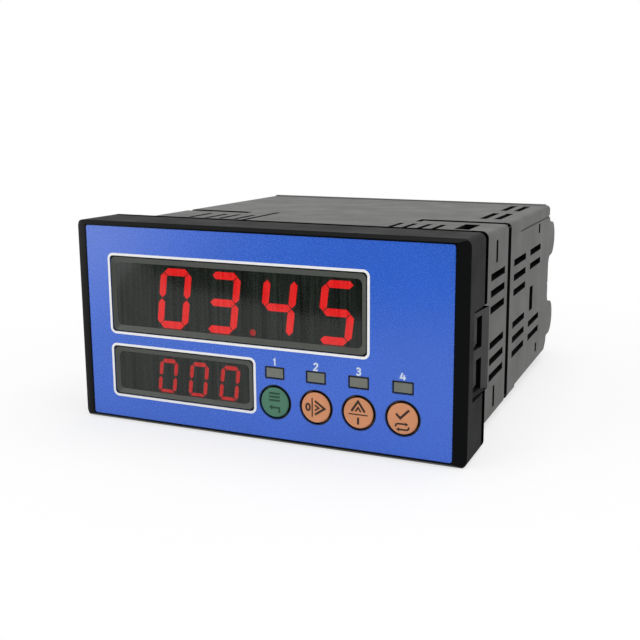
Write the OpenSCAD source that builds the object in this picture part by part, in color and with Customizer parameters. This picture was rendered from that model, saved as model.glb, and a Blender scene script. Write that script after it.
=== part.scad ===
// Weighing indicator for panel mounting, in the 96 x 48 mm panel format.
// The keys and windows face -Y, the terminals face +Y, and Z is up.
// In the shapes below, Y counts back from the panel plane, which is the bezel's rear face,
// and X and Z count from the middle of the bezel. The last step moves all of it so that the
// origin lies under the middle of the part, at the level of the bezel's underside.

/* [Bezel] */
// Width of the bezel
bezel_w = 96; // [94:0.5:104]
// Height of the bezel
bezel_h = 48; // [47:0.5:56]
// Depth of the bezel in front of the panel
bezel_d = 14.75; // [14:0.25:18]
// Radius of the bezel's corners
bezel_corner_r = 1.6; // [0.5:0.1:2.5]
// Width of the sloping rim at the sides
rim_w = 2.9; // [2.2:0.1:3.2]
// Width of the sloping rim at the top and bottom
rim_h = 1.05; // [0.9:0.05:1.3]
// How far the rim's outer edge lies behind its inner edge
rim_slope = 1.06; // [0.4:0.02:2]
// Flat land along the rim's inner edge
rim_land = 0.3; // [0.2:0.05:0.6]
// Wall of the bezel at the sides
bezel_side_wall = 2; // [1.6:0.1:2.2]
// Wall of the bezel at the top and bottom
bezel_top_wall = 1.5; // [1.2:0.1:1.8]
// Thickness of the web behind the fascia sheet
web_t = 1.2; // [1:0.1:1.6]

/* [Snap latches] */
// Length of the latch recess, forward from the panel plane
latch_d = 10.4; // [9:0.1:11]
// Height of the latch recess
latch_h = 19.3; // [18:0.1:22]
// Middle of the recess, above the middle of the bezel
latch_z = -1.15; // [-2:0.05:2]
// Thickness of the latch tongue
tongue_t = 1.4; // [1:0.1:1.8]
// How far the tongue's rear end stands out past the bezel's side
tongue_proud = 0.5; // [0:0.05:0.8]
// Gap between the tongue and the recess, above and below
tongue_gap = 0.55; // [0.3:0.05:0.8]
// Length of the two windows in the tongue
tongue_window_d = 6; // [5:0.1:7]
// Height of the tongue's legs above and below its windows
tongue_leg_h = 1.15; // [0.8:0.05:1.6]
// Height of the bar between the windows
tongue_bar_h = 2.3; // [1.6:0.1:3]
// Length of the snap barb in each window
barb_d = 1.9; // [1.2:0.1:2.4]
// How far the barb stands out from the case wall
barb_t = 1.25; // [1.1:0.05:1.5]

/* [Fascia and windows] */
// Thickness of the fascia sheet
film_t = 0.25; // [0.15:0.05:0.4]
// How far the sheet lies below the rim
film_set_back = 0.15; // [0.05:0.05:0.4]
// Distance from the fascia's left edge to both windows
window_left = 5.8; // [4.5:0.1:7]
// Distance from the fascia's right edge to the main window
main_right = 18.35; // [14:0.05:22]
// Distance from the fascia's top edge to the main window
main_top = 6.25; // [5:0.05:7]
// Gap between the two windows
window_gap = 2.15; // [2.1:0.05:3]
// Height of the lower window, over its printed outline
lower_h = 13.15; // [12.5:0.05:13.5]
// Distance from the fascia's bottom edge to the lower window
lower_margin = 4.95; // [4:0.05:6]
// Width of the printed outline
outline_t = 0.65; // [0.4:0.05:0.8]
// Dark gap between the outline and the window's lens
lens_gap = 0.5; // [0.2:0.05:0.6]
// Depth of a lens, front to back
lens_d = 1.9; // [1.8:0.05:2.3]
// Width of the lens bevel at the sides
bevel_w = 0.9; // [0.4:0.05:1.2]
// Width of the lens bevel at the top and bottom
bevel_h = 1.35; // [0.8:0.05:1.4]
// Depth of the lens bevel
bevel_d = 0.4; // [0.2:0.05:0.6]
// Width of one indicator window
indicator_w = 4.4; // [3.6:0.1:5]
// Height of one indicator window
indicator_h = 2.45; // [1.8:0.05:3]

/* [Readouts] */
// Gap above and below the main digits, inside the lens bevel
main_digit_gap = 0.1; // [0:0.05:1]
// Lean of the digits
digit_lean = 7; // [0:0.5:10]
// Numerals shown on the main readout
main_shown = [0, 3, 4, 5];
// Numerals shown on the small readout
lower_shown = [0, 0, 0];

/* [Keys] */
// Number of keys
key_count = 4; // [4:1:4]
// Distance between key centres
key_pitch = 10; // [9.8:0.1:10.3]
// From the lower window's right edge to the first key's centre
key_start = 4.65; // [4.6:0.05:5.5]
// From the last key's centre to the fascia's right edge
key_end = 10.95; // [9:0.05:12]
// Height of the key centres above the fascia's bottom edge
key_rise = 8.4; // [7.5:0.1:9]
// Diameter of a key
key_dia = 6.8; // [6:0.1:7]
// Diameter of the hole around a key
key_hole_dia = 7.6; // [7.4:0.1:7.8]
// How far a key stands out from the fascia
key_proud = 0.3; // [0.1:0.05:0.8]
// Travel of a key
key_travel = 0.5; // [0.3:0.05:0.6]
// From the keys' centres up to the indicator windows' centres
indicator_rise = 6.7; // [6.4:0.05:7.2]

/* [Case] */
// Depth of the case behind the panel
case_d = 83; // [80:1:100]
// Wall of the case
case_wall = 2.4; // [2:0.1:2.6]
// Radius of the case's long edges
case_corner_r = 1.2; // [0.5:0.1:2]
// Gap between the case and the bezel at the sides
case_side_gap = 0.2; // [0.1:0.05:0.3]
// Gap between the case and the bezel at the top and bottom
case_top_gap = 0.1; // [0.05:0.05:0.3]
// How far the case reaches into the bezel
case_lap = 1.5; // [1:0.1:2]
// Width of the mounting groove
groove_w = 3.2; // [2:0.1:4]
// Depth of the mounting groove
groove_t = 1.5; // [0.8:0.1:1.7]
// From the panel plane to the groove
groove_y = 28.5; // [28:0.5:30]
// Height of a side vent
vent_h = 1.7; // [1.2:0.1:2]
// Distance of the first vent row from the middle
vent_row_first = 4.2; // [4:0.1:5]
// Distance between vent rows
vent_row_pitch = 3.83; // [3:0.01:3.9]
// Width of the top slots
slot_w = 1.3; // [1:0.1:1.6]
// Width of the rear slots
rear_slot_w = 1.8; // [1.4:0.1:2.2]
// Height of a terminal cheek
cheek_h = 10; // [9:0.1:11]
// How far the cheeks reach past the case
cheek_d = 9; // [8.5:0.1:10]
// Radius of the case's rounded lower rear corner
rear_corner_r = 10.5; // [8:0.1:11]
// Thickness of the bead along the rear edge of the case's top
rear_bead_dia = 1.8; // [1.2:0.1:2.4]

/* [Terminals] */
// Number of terminals in a row
terminal_count = 10; // [8:1:11]
// Thickness of the walls between terminals
barrier_t = 1.2; // [1:0.1:1.6]
// From the inner boards' component faces down to the screws' centres
terminal_drop = 3.4; // [3:0.1:4]
// Depth of a terminal block inside the case
block_d = 7; // [6:0.1:9]
// Diameter of the terminal screws' shanks
terminal_screw_dia = 3; // [2.5:0.1:3.2]
// Diameter of the terminal screws' heads
terminal_head_dia = 5.6; // [5:0.1:5.9]

/* [Boards] */
// Thickness of the circuit boards
board_t = 1.6; // [1.2:0.1:2]
// Gap between a circuit board and the case's top or bottom wall
board_gap = 2.8; // [2.4:0.1:3.2]
// From the panel plane forward to the display board's rear face
display_board_y = 3.4; // [3:0.1:3.8]

/* [Hidden] */

$fn = 40;
// Overrun of every cut
over = 0.5;
// Clearance between pieces that seat in one another
seat_gap = 0.1;

// Bezel
cavity_w = bezel_w - 2 * bezel_side_wall;
cavity_h = bezel_h - 2 * bezel_top_wall;
fascia_w = bezel_w - 2 * rim_w;
fascia_h = bezel_h - 2 * rim_h;
fascia_corner_r = 0.6;
film_y = film_set_back - bezel_d;
web_y = film_y + film_t;
web_back = web_y + web_t;
lens_back = film_y + lens_d;
flange_t = lens_back - web_back;
lens_flange = 1;

// Windows
window_x = window_left - fascia_w / 2;
main_w = fascia_w - window_left - main_right;
main_x = window_x + main_w / 2;
main_h = fascia_h - main_top - window_gap - lower_h - lower_margin;
main_z = fascia_h / 2 - main_top - main_h / 2;
key_x0 = fascia_w / 2 - key_end - (key_count - 1) * key_pitch;
lower_w = key_x0 - key_start - window_x;
lower_x = window_x + lower_w / 2;
lower_z = main_z - main_h / 2 - window_gap - lower_h / 2;
window_corner_r = 1.5;
lens_inset = outline_t + lens_gap;
lens_corner_r = window_corner_r - lens_gap;

// Keys and indicators
key_z = key_rise - fascia_h / 2;
indicator_z = key_z + indicator_rise;
indicator_gap = 0.15;
key_edge = 0.25;
key_rest_gap = 0.15;
key_flange_w = 0.6;
key_flange_dia = key_hole_dia + 2 * key_flange_w;
key_flange_t = 0.8;
key_stem_dia = 4;
pipe_bar_t = 1;
pipe_bar_edge = 0.6;

// Display board
board_back = -display_board_y;
board_front = board_back - board_t;
board_side_gap = 0.6;
board_end_gap = 0.5;
display_board_w = cavity_w - 2 * board_side_gap;
display_board_h = cavity_h - 2 * board_end_gap;
arm_gap = 0.4;
tongue_window_h = latch_h / 2 - tongue_gap - tongue_leg_h - tongue_bar_h / 2;
arm_h = latch_h - 2 * tongue_gap;
arm_front_gap = 1.5;
arm_d = latch_d - arm_front_gap;
readout_gap = 0.15;
readout_y = lens_back + readout_gap;
readout_inset = 0.5;
housing_inset = lens_inset + readout_inset;
segment_t = 0.3;
segment_gap = 0.25;
lamp_dia = 3;
lamp_gap = 0.2;
lamp_d = 3.6;
lamp_y = board_front - lamp_d;
pipe_back = lamp_y - lamp_gap;
switch_w = 6;
switch_d = 3.1;
switch_face = board_front - switch_d;
plunger_dia = 3.2;
plunger_gap = 0.3;
plunger_d = 0.9;
plunger_face = switch_face - plunger_d;
plunger_grip = 0.9;

// Board screws
boss_dia = 4.6;
boss_side = 3.7;
boss_end = 3.2;
boss_x = cavity_w / 2 - boss_side;
boss_z = cavity_h / 2 - boss_end;
screw_dia = 1.8;
pilot_dia = 2;
screw_depth = 4.5;
screw_head_dia = 3.6;
screw_head_t = 1.3;

// Places of the main numerals across the window, and of the unlit place before them
main_digit_shares = [0.253, 0.446, 0.6585, 0.871];
main_blank_share = 0.1;
main_point_share = 0.561;
point_drop_share = 0.435;
point_share = 0.88;
lower_digit_shares = [0.3665, 0.5805, 0.7925];
lower_blank_share = 0.155;
main_digit_width_share = 0.1257;
lower_digit_width_share = 0.1289;
lower_digit_height_share = 0.646;
stroke_share = 0.207;
main_digit_w = main_w * main_digit_width_share;
main_digit_h = main_h - 2 * (lens_inset + bevel_h + main_digit_gap);
main_stroke = main_digit_w * stroke_share;
lower_digit_w = lower_w * lower_digit_width_share;
lower_digit_h = lower_h * lower_digit_height_share;
lower_stroke = lower_digit_w * stroke_share;

// Case
case_w = cavity_w - 2 * case_side_gap;
case_h = cavity_h - 2 * case_top_gap;
inner_w = case_w - 2 * case_wall;
inner_h = case_h - 2 * case_wall;
vent_front_y = 12.1;
vent_front_d = 13.5;
vent_mid_y = 35.8;
vent_mid_d = 14.2;
vent_rear_y = 55.6;
vent_rear_d = 14.4;
vent_window_y = 56.3;
vent_window_d = 4.2;
vent_window_h = 6.7;
vent_window_z = -1.15;
post_slot_y = 16.35;
post_slot_w = 1.7;
post_slot_h = 5.2;
post_slot_drop = 2.6;
post_slot_z = inner_h / 2 - post_slot_drop;
tail_slot_y = 66.5;
tail_slot_w = 2;
tail_slot_h = 2.6;
tail_slot_drop = 2.8;
tail_slot_z = inner_h / 2 - tail_slot_drop;
top_slot_y = 13.6;
top_slot_d = 10.4;
right_slot_y = 11.5;
right_slot_d = 10.2;
long_slot_y = 12.2;
long_slot_d = 20.5;
square_slot_y = 14.2;
square_slot_d = 10.7;
square_slot_w = 3.7;
rear_slot_y = 38.7;
rear_slot_d = 15.1;
rear_slot_step = 22.8;
left_slot_shares = [-0.376, -0.323, -0.281, -0.234];
right_slot_shares = [0.228, 0.266, 0.307, 0.345];
rear_slot_shares = [0.4, 0.441];
long_slot_share = -0.202;
square_slot_share = 0.414;
groove_left_share = -0.284;
groove_right_share = 0.256;
groove_leg_w = 1.6;
groove_leg_d = 5.5;
line_y = 42.5;
line_drop = 3.4;
line_z = case_h / 2 - line_drop;
line_h = 0.5;
line_t = 0.3;
edge_y = 40.5;
edge_cut = 1.5;
notch_z = -1.1;
notch_h = 0.5;
notch_d = 0.6;
rail_t = 1.2;
rail_w = 1.8;
rail_gap = 0.1;
rail_y = 22;
rail_d = 42;
rail_rise = (board_t + rail_t + 2 * rail_gap) / 2;

// Terminals
block_gap = 0.15;
block_y = case_d - block_d;
cheek_root = 1;
rear_side_share = 0.76;
rear_bead_proud = 0.35;
// Share of the room above and below a cheek that its rounded root takes
cheek_root_share = 0.55;
low_root_share = 0.2;
barrier_root_r = 1.2;
block_w = inner_w - 2 * block_gap;
terminal_pitch = (block_w - barrier_t) / terminal_count;
tag_t = 0.8;
tag_side_gap = 0.7;
tag_w = terminal_pitch - barrier_t - 2 * tag_side_gap;
clamp_t = 1;
clamp_side_gap = 0.4;
clamp_w = terminal_pitch - barrier_t - 2 * clamp_side_gap;
head_t = 2;
shank_gap = 0.15;
shank_depth = 4;
screw_slot_w = 0.8;
screw_slot_t = 0.9;
tag_drop = 4;
board_z = inner_h / 2 - board_gap - board_t / 2;
floor_z = board_z - board_t / 2;
terminal_z = floor_z - terminal_drop;
tag_leg_w = 3;
tag_leg_reach = 6;
tag_leg_d = block_d + tag_leg_reach;

// Inner boards
board_edge_gap = 0.3;
board_w = inner_w - 2 * board_edge_gap;
board_y = 0.6;
board_block_gap = 0.4;
board_end = block_y - board_block_gap;
board_d = board_end - board_y;
plug_w = 30;
plug_h = 5;
plug_y = 1.8;
plug_d = 8;
core_w = 30;
core_d = 12;
core_head_gap = 6.2;
core_h = 2 * floor_z - core_head_gap;
core_leg = 5;
core_at_shares = [-0.27, 0.4];
coil_d = 20;
coil_gap = 0.1;
relay_w = 12.5;
relay_d = 20;
relay_h = 15.5;
relay_at_shares = [-0.16, 0.05, 0.26];
relay_row_share = 0.72;
capacitor_dias = [10, 8, 8];
capacitor_h = 17;
capacitor_x_shares = [0.08, 0.23, 0.36];
capacitor_y_share = 0.32;
chip_sizes = [[10, 14], [7, 9], [18, 8]];
chip_t = 2;
chip_x_shares = [-0.2, 0.05, 0.25];
chip_y_shares = [0.35, 0.5, 0.7];

// Place of the whole part
key_front = film_y - key_proud;
part_front = min(key_front, -bezel_d);
part_back = case_d + cheek_d;
seat_y = -(part_front + part_back) / 2;
centre_z = bezel_h / 2;

// Strokes that each numeral shows: top, upper right, lower right, bottom, lower left, upper left, middle
STROKES = [
    [1, 1, 1, 1, 1, 1, 0],
    [0, 1, 1, 0, 0, 0, 0],
    [1, 1, 0, 1, 1, 0, 1],
    [1, 1, 1, 1, 0, 0, 1],
    [0, 1, 1, 0, 0, 1, 1],
    [1, 0, 1, 1, 0, 1, 1],
    [1, 0, 1, 1, 1, 1, 1],
    [1, 1, 1, 0, 0, 0, 0],
    [1, 1, 1, 1, 1, 1, 1],
    [1, 1, 1, 1, 0, 1, 1]
];

function key_x(k) = key_x0 + k * key_pitch;
function lean(points) = [for (p = points) [p[0] + p[1] * tan(digit_lean), p[1]]];
function terminal_x(i) = (i + 1 / 2) * terminal_pitch - (block_w - barrier_t) / 2;

// Moves the finished part from the panel plane to its own origin
module in_place() {
    translate([0, seat_y, centre_z]) children();
}

// A plate with an outline in X and Z, from y backwards over d
module slab(y, d) {
    translate([0, y + d, 0]) rotate([90, 0, 0]) linear_extrude(d) children();
}

// An outline in Y and Z, drawn from x over w
module side_slab(x, w) {
    translate([x, 0, 0]) rotate([90, 0, 90]) linear_extrude(w) children();
}

// A round bar along Y
module rod(y, d, dia) {
    translate([0, y, 0]) rotate([-90, 0, 0]) cylinder(h = d, d = dia);
}

module rounded(w, h, r) {
    square([w - 2 * r, h], center = true);
    square([w, h - 2 * r], center = true);
    for (i = [-1, 1], k = [-1, 1]) {
        translate([i * (w / 2 - r), k * (h / 2 - r)]) circle(r);
    }
}

module both_sides() {
    children();
    mirror([1, 0, 0]) children();
}

module window_outlines(grow, r) {
    translate([main_x, main_z]) rounded(main_w + 2 * grow, main_h + 2 * grow, r);
    translate([lower_x, lower_z]) rounded(lower_w + 2 * grow, lower_h + 2 * grow, r);
}

module key_holes(dia) {
    for (k = [0:key_count - 1]) {
        translate([key_x(k), key_z]) circle(d = dia);
    }
}

module indicator_outlines(grow) {
    for (k = [0:key_count - 1]) {
        translate([key_x(k), indicator_z])
            square([indicator_w + 2 * grow, indicator_h + 2 * grow], center = true);
    }
}

// Bezel with its sloping rim: three outlines cross, so that the rim meets in mitred corners
module bezel_blank() {
    side = bezel_w / 2;
    top = bezel_h / 2;
    in_side = fascia_w / 2 + rim_land;
    in_top = fascia_h / 2 + rim_land;
    edge = rim_slope - bezel_d;
    intersection() {
        slab(-bezel_d, bezel_d) rounded(bezel_w, bezel_h, bezel_corner_r);
        translate([0, 0, -bezel_h]) linear_extrude(2 * bezel_h)
            polygon([[-side, 0], [side, 0], [side, edge], [in_side, -bezel_d], [-in_side, -bezel_d],
                [-side, edge]]);
        side_slab(-bezel_w, 2 * bezel_w)
            polygon([[0, -top], [0, top], [edge, top], [-bezel_d, in_top], [-bezel_d, -in_top],
                [edge, -top]]);
    }
}

module latch_tongue() {
    root_in = bezel_w / 2 - tongue_proud - tongue_t;
    root_out = bezel_w / 2 - tongue_proud;
    end_out = bezel_w / 2 + tongue_proud;
    end_in = end_out - tongue_t;
    h = latch_h - 2 * tongue_gap;
    difference() {
        translate([0, 0, latch_z - h / 2]) linear_extrude(h)
            polygon([[root_in, -latch_d - over], [root_out, -latch_d - over], [root_out, -latch_d],
                [end_out, 0], [end_in, 0], [root_in, -latch_d]]);
        for (s = [-1, 1]) {
            translate([root_in - over, -latch_d,
                latch_z + s * (tongue_bar_h + tongue_window_h) / 2 - tongue_window_h / 2])
                cube([tongue_t + 2 * tongue_proud + 2 * over, tongue_window_d, tongue_window_h]);
        }
    }
}

module bezel_frame() {
    color([0.2, 0.21, 0.22]) in_place() {
        difference() {
            bezel_blank();
            slab(-bezel_d - over, bezel_d + web_y + over) rounded(fascia_w, fascia_h, fascia_corner_r);
            difference() {
                slab(web_back, over - web_back) square([cavity_w, cavity_h], center = true);
                for (i = [-1, 1], k = [-1, 1]) {
                    translate([i * boss_x, 0, k * boss_z]) rod(web_back, board_front - web_back, boss_dia);
                }
            }
            slab(web_y - over, web_t + 2 * over) {
                window_outlines(seat_gap - lens_inset, lens_corner_r);
                key_holes(key_hole_dia);
                indicator_outlines(0);
            }
            for (i = [-1, 1], k = [-1, 1]) {
                translate([i * boss_x, 0, k * boss_z])
                    rod(board_front - screw_depth, screw_depth + over, pilot_dia);
            }
            both_sides() translate([cavity_w / 2 - over, -latch_d, latch_z - latch_h / 2])
                cube([bezel_side_wall + 2 * over, latch_d + over, latch_h]);
        }
        both_sides() latch_tongue();
    }
}

module fascia_overlay() {
    color([0.38, 0.45, 0.85]) in_place()
        slab(film_y, film_t) difference() {
            rounded(fascia_w - 2 * seat_gap, fascia_h - 2 * seat_gap, fascia_corner_r);
            window_outlines(-outline_t, window_corner_r - outline_t);
            key_holes(key_hole_dia);
            indicator_outlines(0);
        }
}

// A window lens: it fills its hole, has a flange behind the web and a bevelled recess in front
module lens(x, z, w, h) {
    lens_w = w - 2 * lens_inset;
    lens_h = h - 2 * lens_inset;
    translate([x, 0, z]) difference() {
        union() {
            slab(film_y, lens_d) rounded(lens_w, lens_h, lens_corner_r);
            slab(web_back, flange_t)
                rounded(lens_w + 2 * lens_flange, lens_h + 2 * lens_flange, lens_corner_r);
        }
        intersection() {
            translate([0, 0, -lens_h]) linear_extrude(2 * lens_h)
                polygon([[-lens_w / 2, film_y - over], [lens_w / 2, film_y - over], [lens_w / 2, film_y],
                    [lens_w / 2 - bevel_w, film_y + bevel_d], [bevel_w - lens_w / 2, film_y + bevel_d],
                    [-lens_w / 2, film_y]]);
            side_slab(-lens_w, 2 * lens_w)
                polygon([[film_y - over, -lens_h / 2], [film_y - over, lens_h / 2], [film_y, lens_h / 2],
                    [film_y + bevel_d, lens_h / 2 - bevel_h], [film_y + bevel_d, bevel_h - lens_h / 2],
                    [film_y, -lens_h / 2]]);
        }
    }
}

module main_window_lens() {
    color([0.2, 0.21, 0.2]) in_place() lens(main_x, main_z, main_w, main_h);
}

module lower_window_lens() {
    color([0.2, 0.21, 0.2]) in_place() lens(lower_x, lower_z, lower_w, lower_h);
}

// Four light pipes on one bar behind the web
module indicator_lenses() {
    color([0.45, 0.47, 0.42]) in_place() {
        slab(film_y, web_back - film_y) indicator_outlines(-indicator_gap);
        slab(web_back, pipe_bar_t) pipe_bar();
        slab(web_back, pipe_back - web_back) indicator_outlines(-indicator_gap - pipe_bar_edge / 2);
    }
}

module pipe_bar() {
    bar_w = (key_count - 1) * key_pitch + indicator_w + 2 * pipe_bar_edge;
    translate([key_x0 - indicator_w / 2 - pipe_bar_edge, indicator_z - indicator_h / 2 - pipe_bar_edge])
        square([bar_w, indicator_h + 2 * pipe_bar_edge]);
}

// A key turned about its own axis: bevelled face, flange behind the web, and stem
module key(k) {
    flange_y = web_back + key_rest_gap;
    back = flange_y + key_flange_t;
    in_place() translate([key_x(k), 0, key_z]) rotate([-90, 0, 0]) rotate_extrude()
        polygon([[0, key_front], [key_dia / 2 - key_edge, key_front], [key_dia / 2, key_front + key_edge],
            [key_dia / 2, flange_y], [key_flange_dia / 2, flange_y], [key_flange_dia / 2, back],
            [key_stem_dia / 2, back], [key_stem_dia / 2, plunger_face], [0, plunger_face]]);
}

module key_set() {
    color([0.27, 0.5, 0.37]) key(0);
}

module key_shift() {
    color([0.87, 0.58, 0.42]) key(1);
}

module key_up() {
    color([0.87, 0.58, 0.42]) key(2);
}

module key_enter() {
    color([0.87, 0.58, 0.42]) key(3);
}

module plunger(k) {
    in_place() translate([key_x(k), 0, key_z]) rod(plunger_face, plunger_d + plunger_grip, plunger_dia);
}

module plunger_set() {
    color([0.12, 0.12, 0.12]) plunger(0);
}

module plunger_shift() {
    color([0.12, 0.12, 0.12]) plunger(1);
}

module plunger_up() {
    color([0.12, 0.12, 0.12]) plunger(2);
}

module plunger_enter() {
    color([0.12, 0.12, 0.12]) plunger(3);
}

module display_board() {
    color([0.12, 0.35, 0.2]) in_place()
        slab(board_front, board_t) difference() {
            square([display_board_w, display_board_h], center = true);
            for (s = [-1, 1]) {
                translate([s * case_w / 2, latch_z])
                    square([2 * (case_wall + arm_gap), arm_h + 2 * arm_gap], center = true);
            }
            for (i = [-1, 1], k = [-1, 1]) {
                translate([i * boss_x, k * boss_z]) circle(d = pilot_dia);
            }
        }
}

module display_board_screws() {
    color([0.75, 0.75, 0.76]) in_place()
        for (i = [-1, 1], k = [-1, 1]) {
            translate([i * boss_x, 0, k * boss_z]) {
                rod(board_front - screw_depth + seat_gap, screw_depth + board_t - seat_gap, screw_dia);
                rod(board_back, screw_head_t, screw_head_dia);
            }
        }
}

// One stroke of a numeral: a bar with pointed ends, along X or, if upright, along Z
module stroke(x, z, length, t, upright) {
    along = [[-length / 2, 0], [(t - length) / 2, t / 2], [(length - t) / 2, t / 2],
        [length / 2, 0], [(length - t) / 2, -t / 2], [(t - length) / 2, -t / 2]];
    polygon(lean([for (p = along) upright ? [x - p[1], z + p[0]] : [x + p[0], z + p[1]]]));
}

// The strokes of one numeral that are on, or with on = 0 the ones that are off
module numeral(shown, on, w, h, t) {
    across = (w - t) / 2;
    half = (h - t) / 2;
    places = [[0, half], [across, half / 2], [across, -half / 2], [0, -half], [-across, -half / 2],
        [-across, half / 2], [0, 0]];
    for (s = [0:6]) {
        upright = s != 0 && s != 3 && s != 6;
        if (STROKES[shown][s] == on)
            stroke(places[s][0], places[s][1], (upright ? half : 2 * across) - segment_gap, t, upright);
    }
}

module main_numerals(on) {
    for (i = [0:len(main_shown) - 1]) {
        translate([window_x + main_digit_shares[i] * main_w, readout_z])
            numeral(main_shown[i], on, main_digit_w, main_digit_h, main_stroke);
    }
}

module main_point() {
    translate([window_x + main_point_share * main_w, readout_z - point_drop_share * main_digit_h])
        circle(d = main_stroke * point_share);
}

// The narrow first place holds an unlit one and an unlit bar
module main_blank() {
    half = (main_digit_h - main_stroke) / 2;
    translate([window_x + main_blank_share * main_w, readout_z]) {
        for (s = [-1, 1]) {
            stroke(main_stroke, s * half / 2, half - segment_gap, main_stroke, true);
        }
        stroke(-main_stroke, 0, main_digit_w / 2, main_stroke, false);
    }
}

module lower_numerals(on) {
    for (i = [0:len(lower_shown) - 1]) {
        translate([window_x + lower_digit_shares[i] * lower_w, lower_readout_z])
            numeral(lower_shown[i], on, lower_digit_w, lower_digit_h, lower_stroke);
    }
}

module lower_blank() {
    translate([window_x + lower_blank_share * lower_w, lower_readout_z])
        numeral(8, 1, lower_digit_w, lower_digit_h, lower_stroke);
}

// The readouts sit a little low behind their windows
main_readout_drop = 0.55;
lower_readout_drop = 0.9;
readout_z = main_z - main_readout_drop;
lower_readout_z = lower_z - lower_readout_drop;

module main_display_housing() {
    color([0.1, 0.1, 0.11]) in_place() difference() {
        translate([main_x, 0, readout_z]) slab(readout_y, board_front - readout_y)
            square([main_w - 2 * housing_inset, main_h - 2 * housing_inset], center = true);
        slab(readout_y - over, segment_t + over) {
            main_numerals(1);
            main_numerals(0);
            main_point();
            main_blank();
        }
    }
}

module main_segments_lit() {
    color([0.85, 0.12, 0.1]) in_place() slab(readout_y, segment_t) {
        main_numerals(1);
        main_point();
    }
}

module main_segments_dark() {
    color([0.18, 0.12, 0.12]) in_place() slab(readout_y, segment_t) {
        main_numerals(0);
        main_blank();
    }
}

module lower_display_housing() {
    color([0.1, 0.1, 0.11]) in_place() difference() {
        translate([lower_x, 0, lower_readout_z]) slab(readout_y, board_front - readout_y)
            square([lower_w - 2 * housing_inset, lower_h - 2 * housing_inset], center = true);
        slab(readout_y - over, segment_t + over) {
            lower_numerals(1);
            lower_numerals(0);
            lower_blank();
        }
    }
}

module lower_segments_lit() {
    color([0.72, 0.27, 0.24]) in_place() slab(readout_y, segment_t) lower_numerals(1);
}

module lower_segments_dark() {
    color([0.18, 0.12, 0.12]) in_place() slab(readout_y, segment_t) {
        lower_numerals(0);
        lower_blank();
    }
}

module indicator_leds() {
    color([0.85, 0.8, 0.75]) in_place()
        for (k = [0:key_count - 1]) {
            translate([key_x(k), 0, indicator_z]) {
                rod(lamp_y + lamp_dia / 2, board_front - lamp_y - lamp_dia / 2, lamp_dia);
                intersection() {
                    translate([0, lamp_y + lamp_dia / 2, 0]) sphere(d = lamp_dia);
                    rod(lamp_y, lamp_dia / 2, lamp_dia);
                }
            }
        }
}

module switch_bodies() {
    color([0.25, 0.25, 0.26]) in_place()
        for (k = [0:key_count - 1]) {
            translate([key_x(k), 0, key_z]) difference() {
                slab(switch_face, switch_d) square(switch_w, center = true);
                rod(switch_face - over, over + plunger_grip + key_travel + plunger_gap,
                    plunger_dia + 2 * plunger_gap);
            }
        }
}

// Two rounded cheeks beside the terminals, as seen from the side
module cheek_outline() {
    r = cheek_h / 2;
    translate([case_d - cheek_root, terminal_z - r]) square([cheek_d + cheek_root - r, cheek_h]);
    translate([case_d + cheek_d - r, terminal_z]) circle(r);
}

// Hollow rounding where a cheek leaves the rear edge, above the cheek or with under = 1 below it
module cheek_root_rounding(under, r) {
    translate([case_d, terminal_z + (1 / 2 - under) * cheek_h]) mirror([0, under]) difference() {
        translate([-cheek_root, -cheek_root]) square(r + cheek_root);
        translate([r, r]) circle(r);
    }
}

// Bead along the rear edge of the top
module rear_bead() {
    r = rear_bead_dia / 2;
    side_slab(case_corner_r - case_w / 2, case_w - 2 * case_corner_r)
        translate([case_d - r, case_h / 2 + rear_bead_proud - r]) circle(r);
}

// Outside of the rounded lower rear corner, as seen from the side
module rear_corner_waste() {
    difference() {
        translate([case_d - rear_side, -case_h / 2 - over])
            square([rear_side + over, rear_corner_r + over]);
        translate([case_d - rear_side, rear_corner_r - case_h / 2]) circle(rear_corner_r);
    }
}

// Length of the rounded corner along the case's underside
rear_side = rear_corner_r * rear_side_share;
cheek_room = case_h / 2 - terminal_z - cheek_h / 2;
cheek_root_r = cheek_room * cheek_root_share;
low_root_r = cheek_room * low_root_share;

module side_vents() {
    wall_x = inner_w / 2 - rail_w;
    for (s = [-1, 1], row = [0, 1, 2]) {
        z = s * (vent_row_first + row * vent_row_pitch) - vent_h / 2;
        translate([wall_x, vent_front_y, z]) cube([bezel_w, vent_front_d, vent_h]);
        translate([wall_x, vent_mid_y, z]) cube([bezel_w, vent_mid_d, vent_h]);
        if (row > 0)
            translate([wall_x, vent_rear_y, z]) cube([bezel_w, vent_rear_d, vent_h]);
    }
    translate([wall_x, vent_window_y, vent_window_z - vent_window_h / 2])
        cube([bezel_w, vent_window_d, vent_window_h]);
    for (s = [-1, 1]) {
        translate([wall_x, post_slot_y, s * post_slot_z - post_slot_h / 2])
            cube([bezel_w, post_slot_w, post_slot_h]);
        translate([wall_x, tail_slot_y, s * tail_slot_z - tail_slot_h / 2])
            cube([bezel_w, tail_slot_w, tail_slot_h]);
    }
}

// A slot through the top and bottom walls
module top_slot(share, y, w, d) {
    translate([share * case_w - w / 2, y, -bezel_h]) cube([w, d, 2 * bezel_h]);
}

module top_slots() {
    for (share = left_slot_shares) {
        top_slot(share, top_slot_y, slot_w, top_slot_d);
    }
    for (share = right_slot_shares) {
        top_slot(share, right_slot_y, slot_w, right_slot_d);
    }
    for (share = rear_slot_shares, step = [0, 1]) {
        top_slot(share, rear_slot_y + step * rear_slot_step, rear_slot_w, rear_slot_d);
    }
    top_slot(long_slot_share, long_slot_y, slot_w, long_slot_d);
    top_slot(square_slot_share, square_slot_y, square_slot_w, square_slot_d);
}

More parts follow.
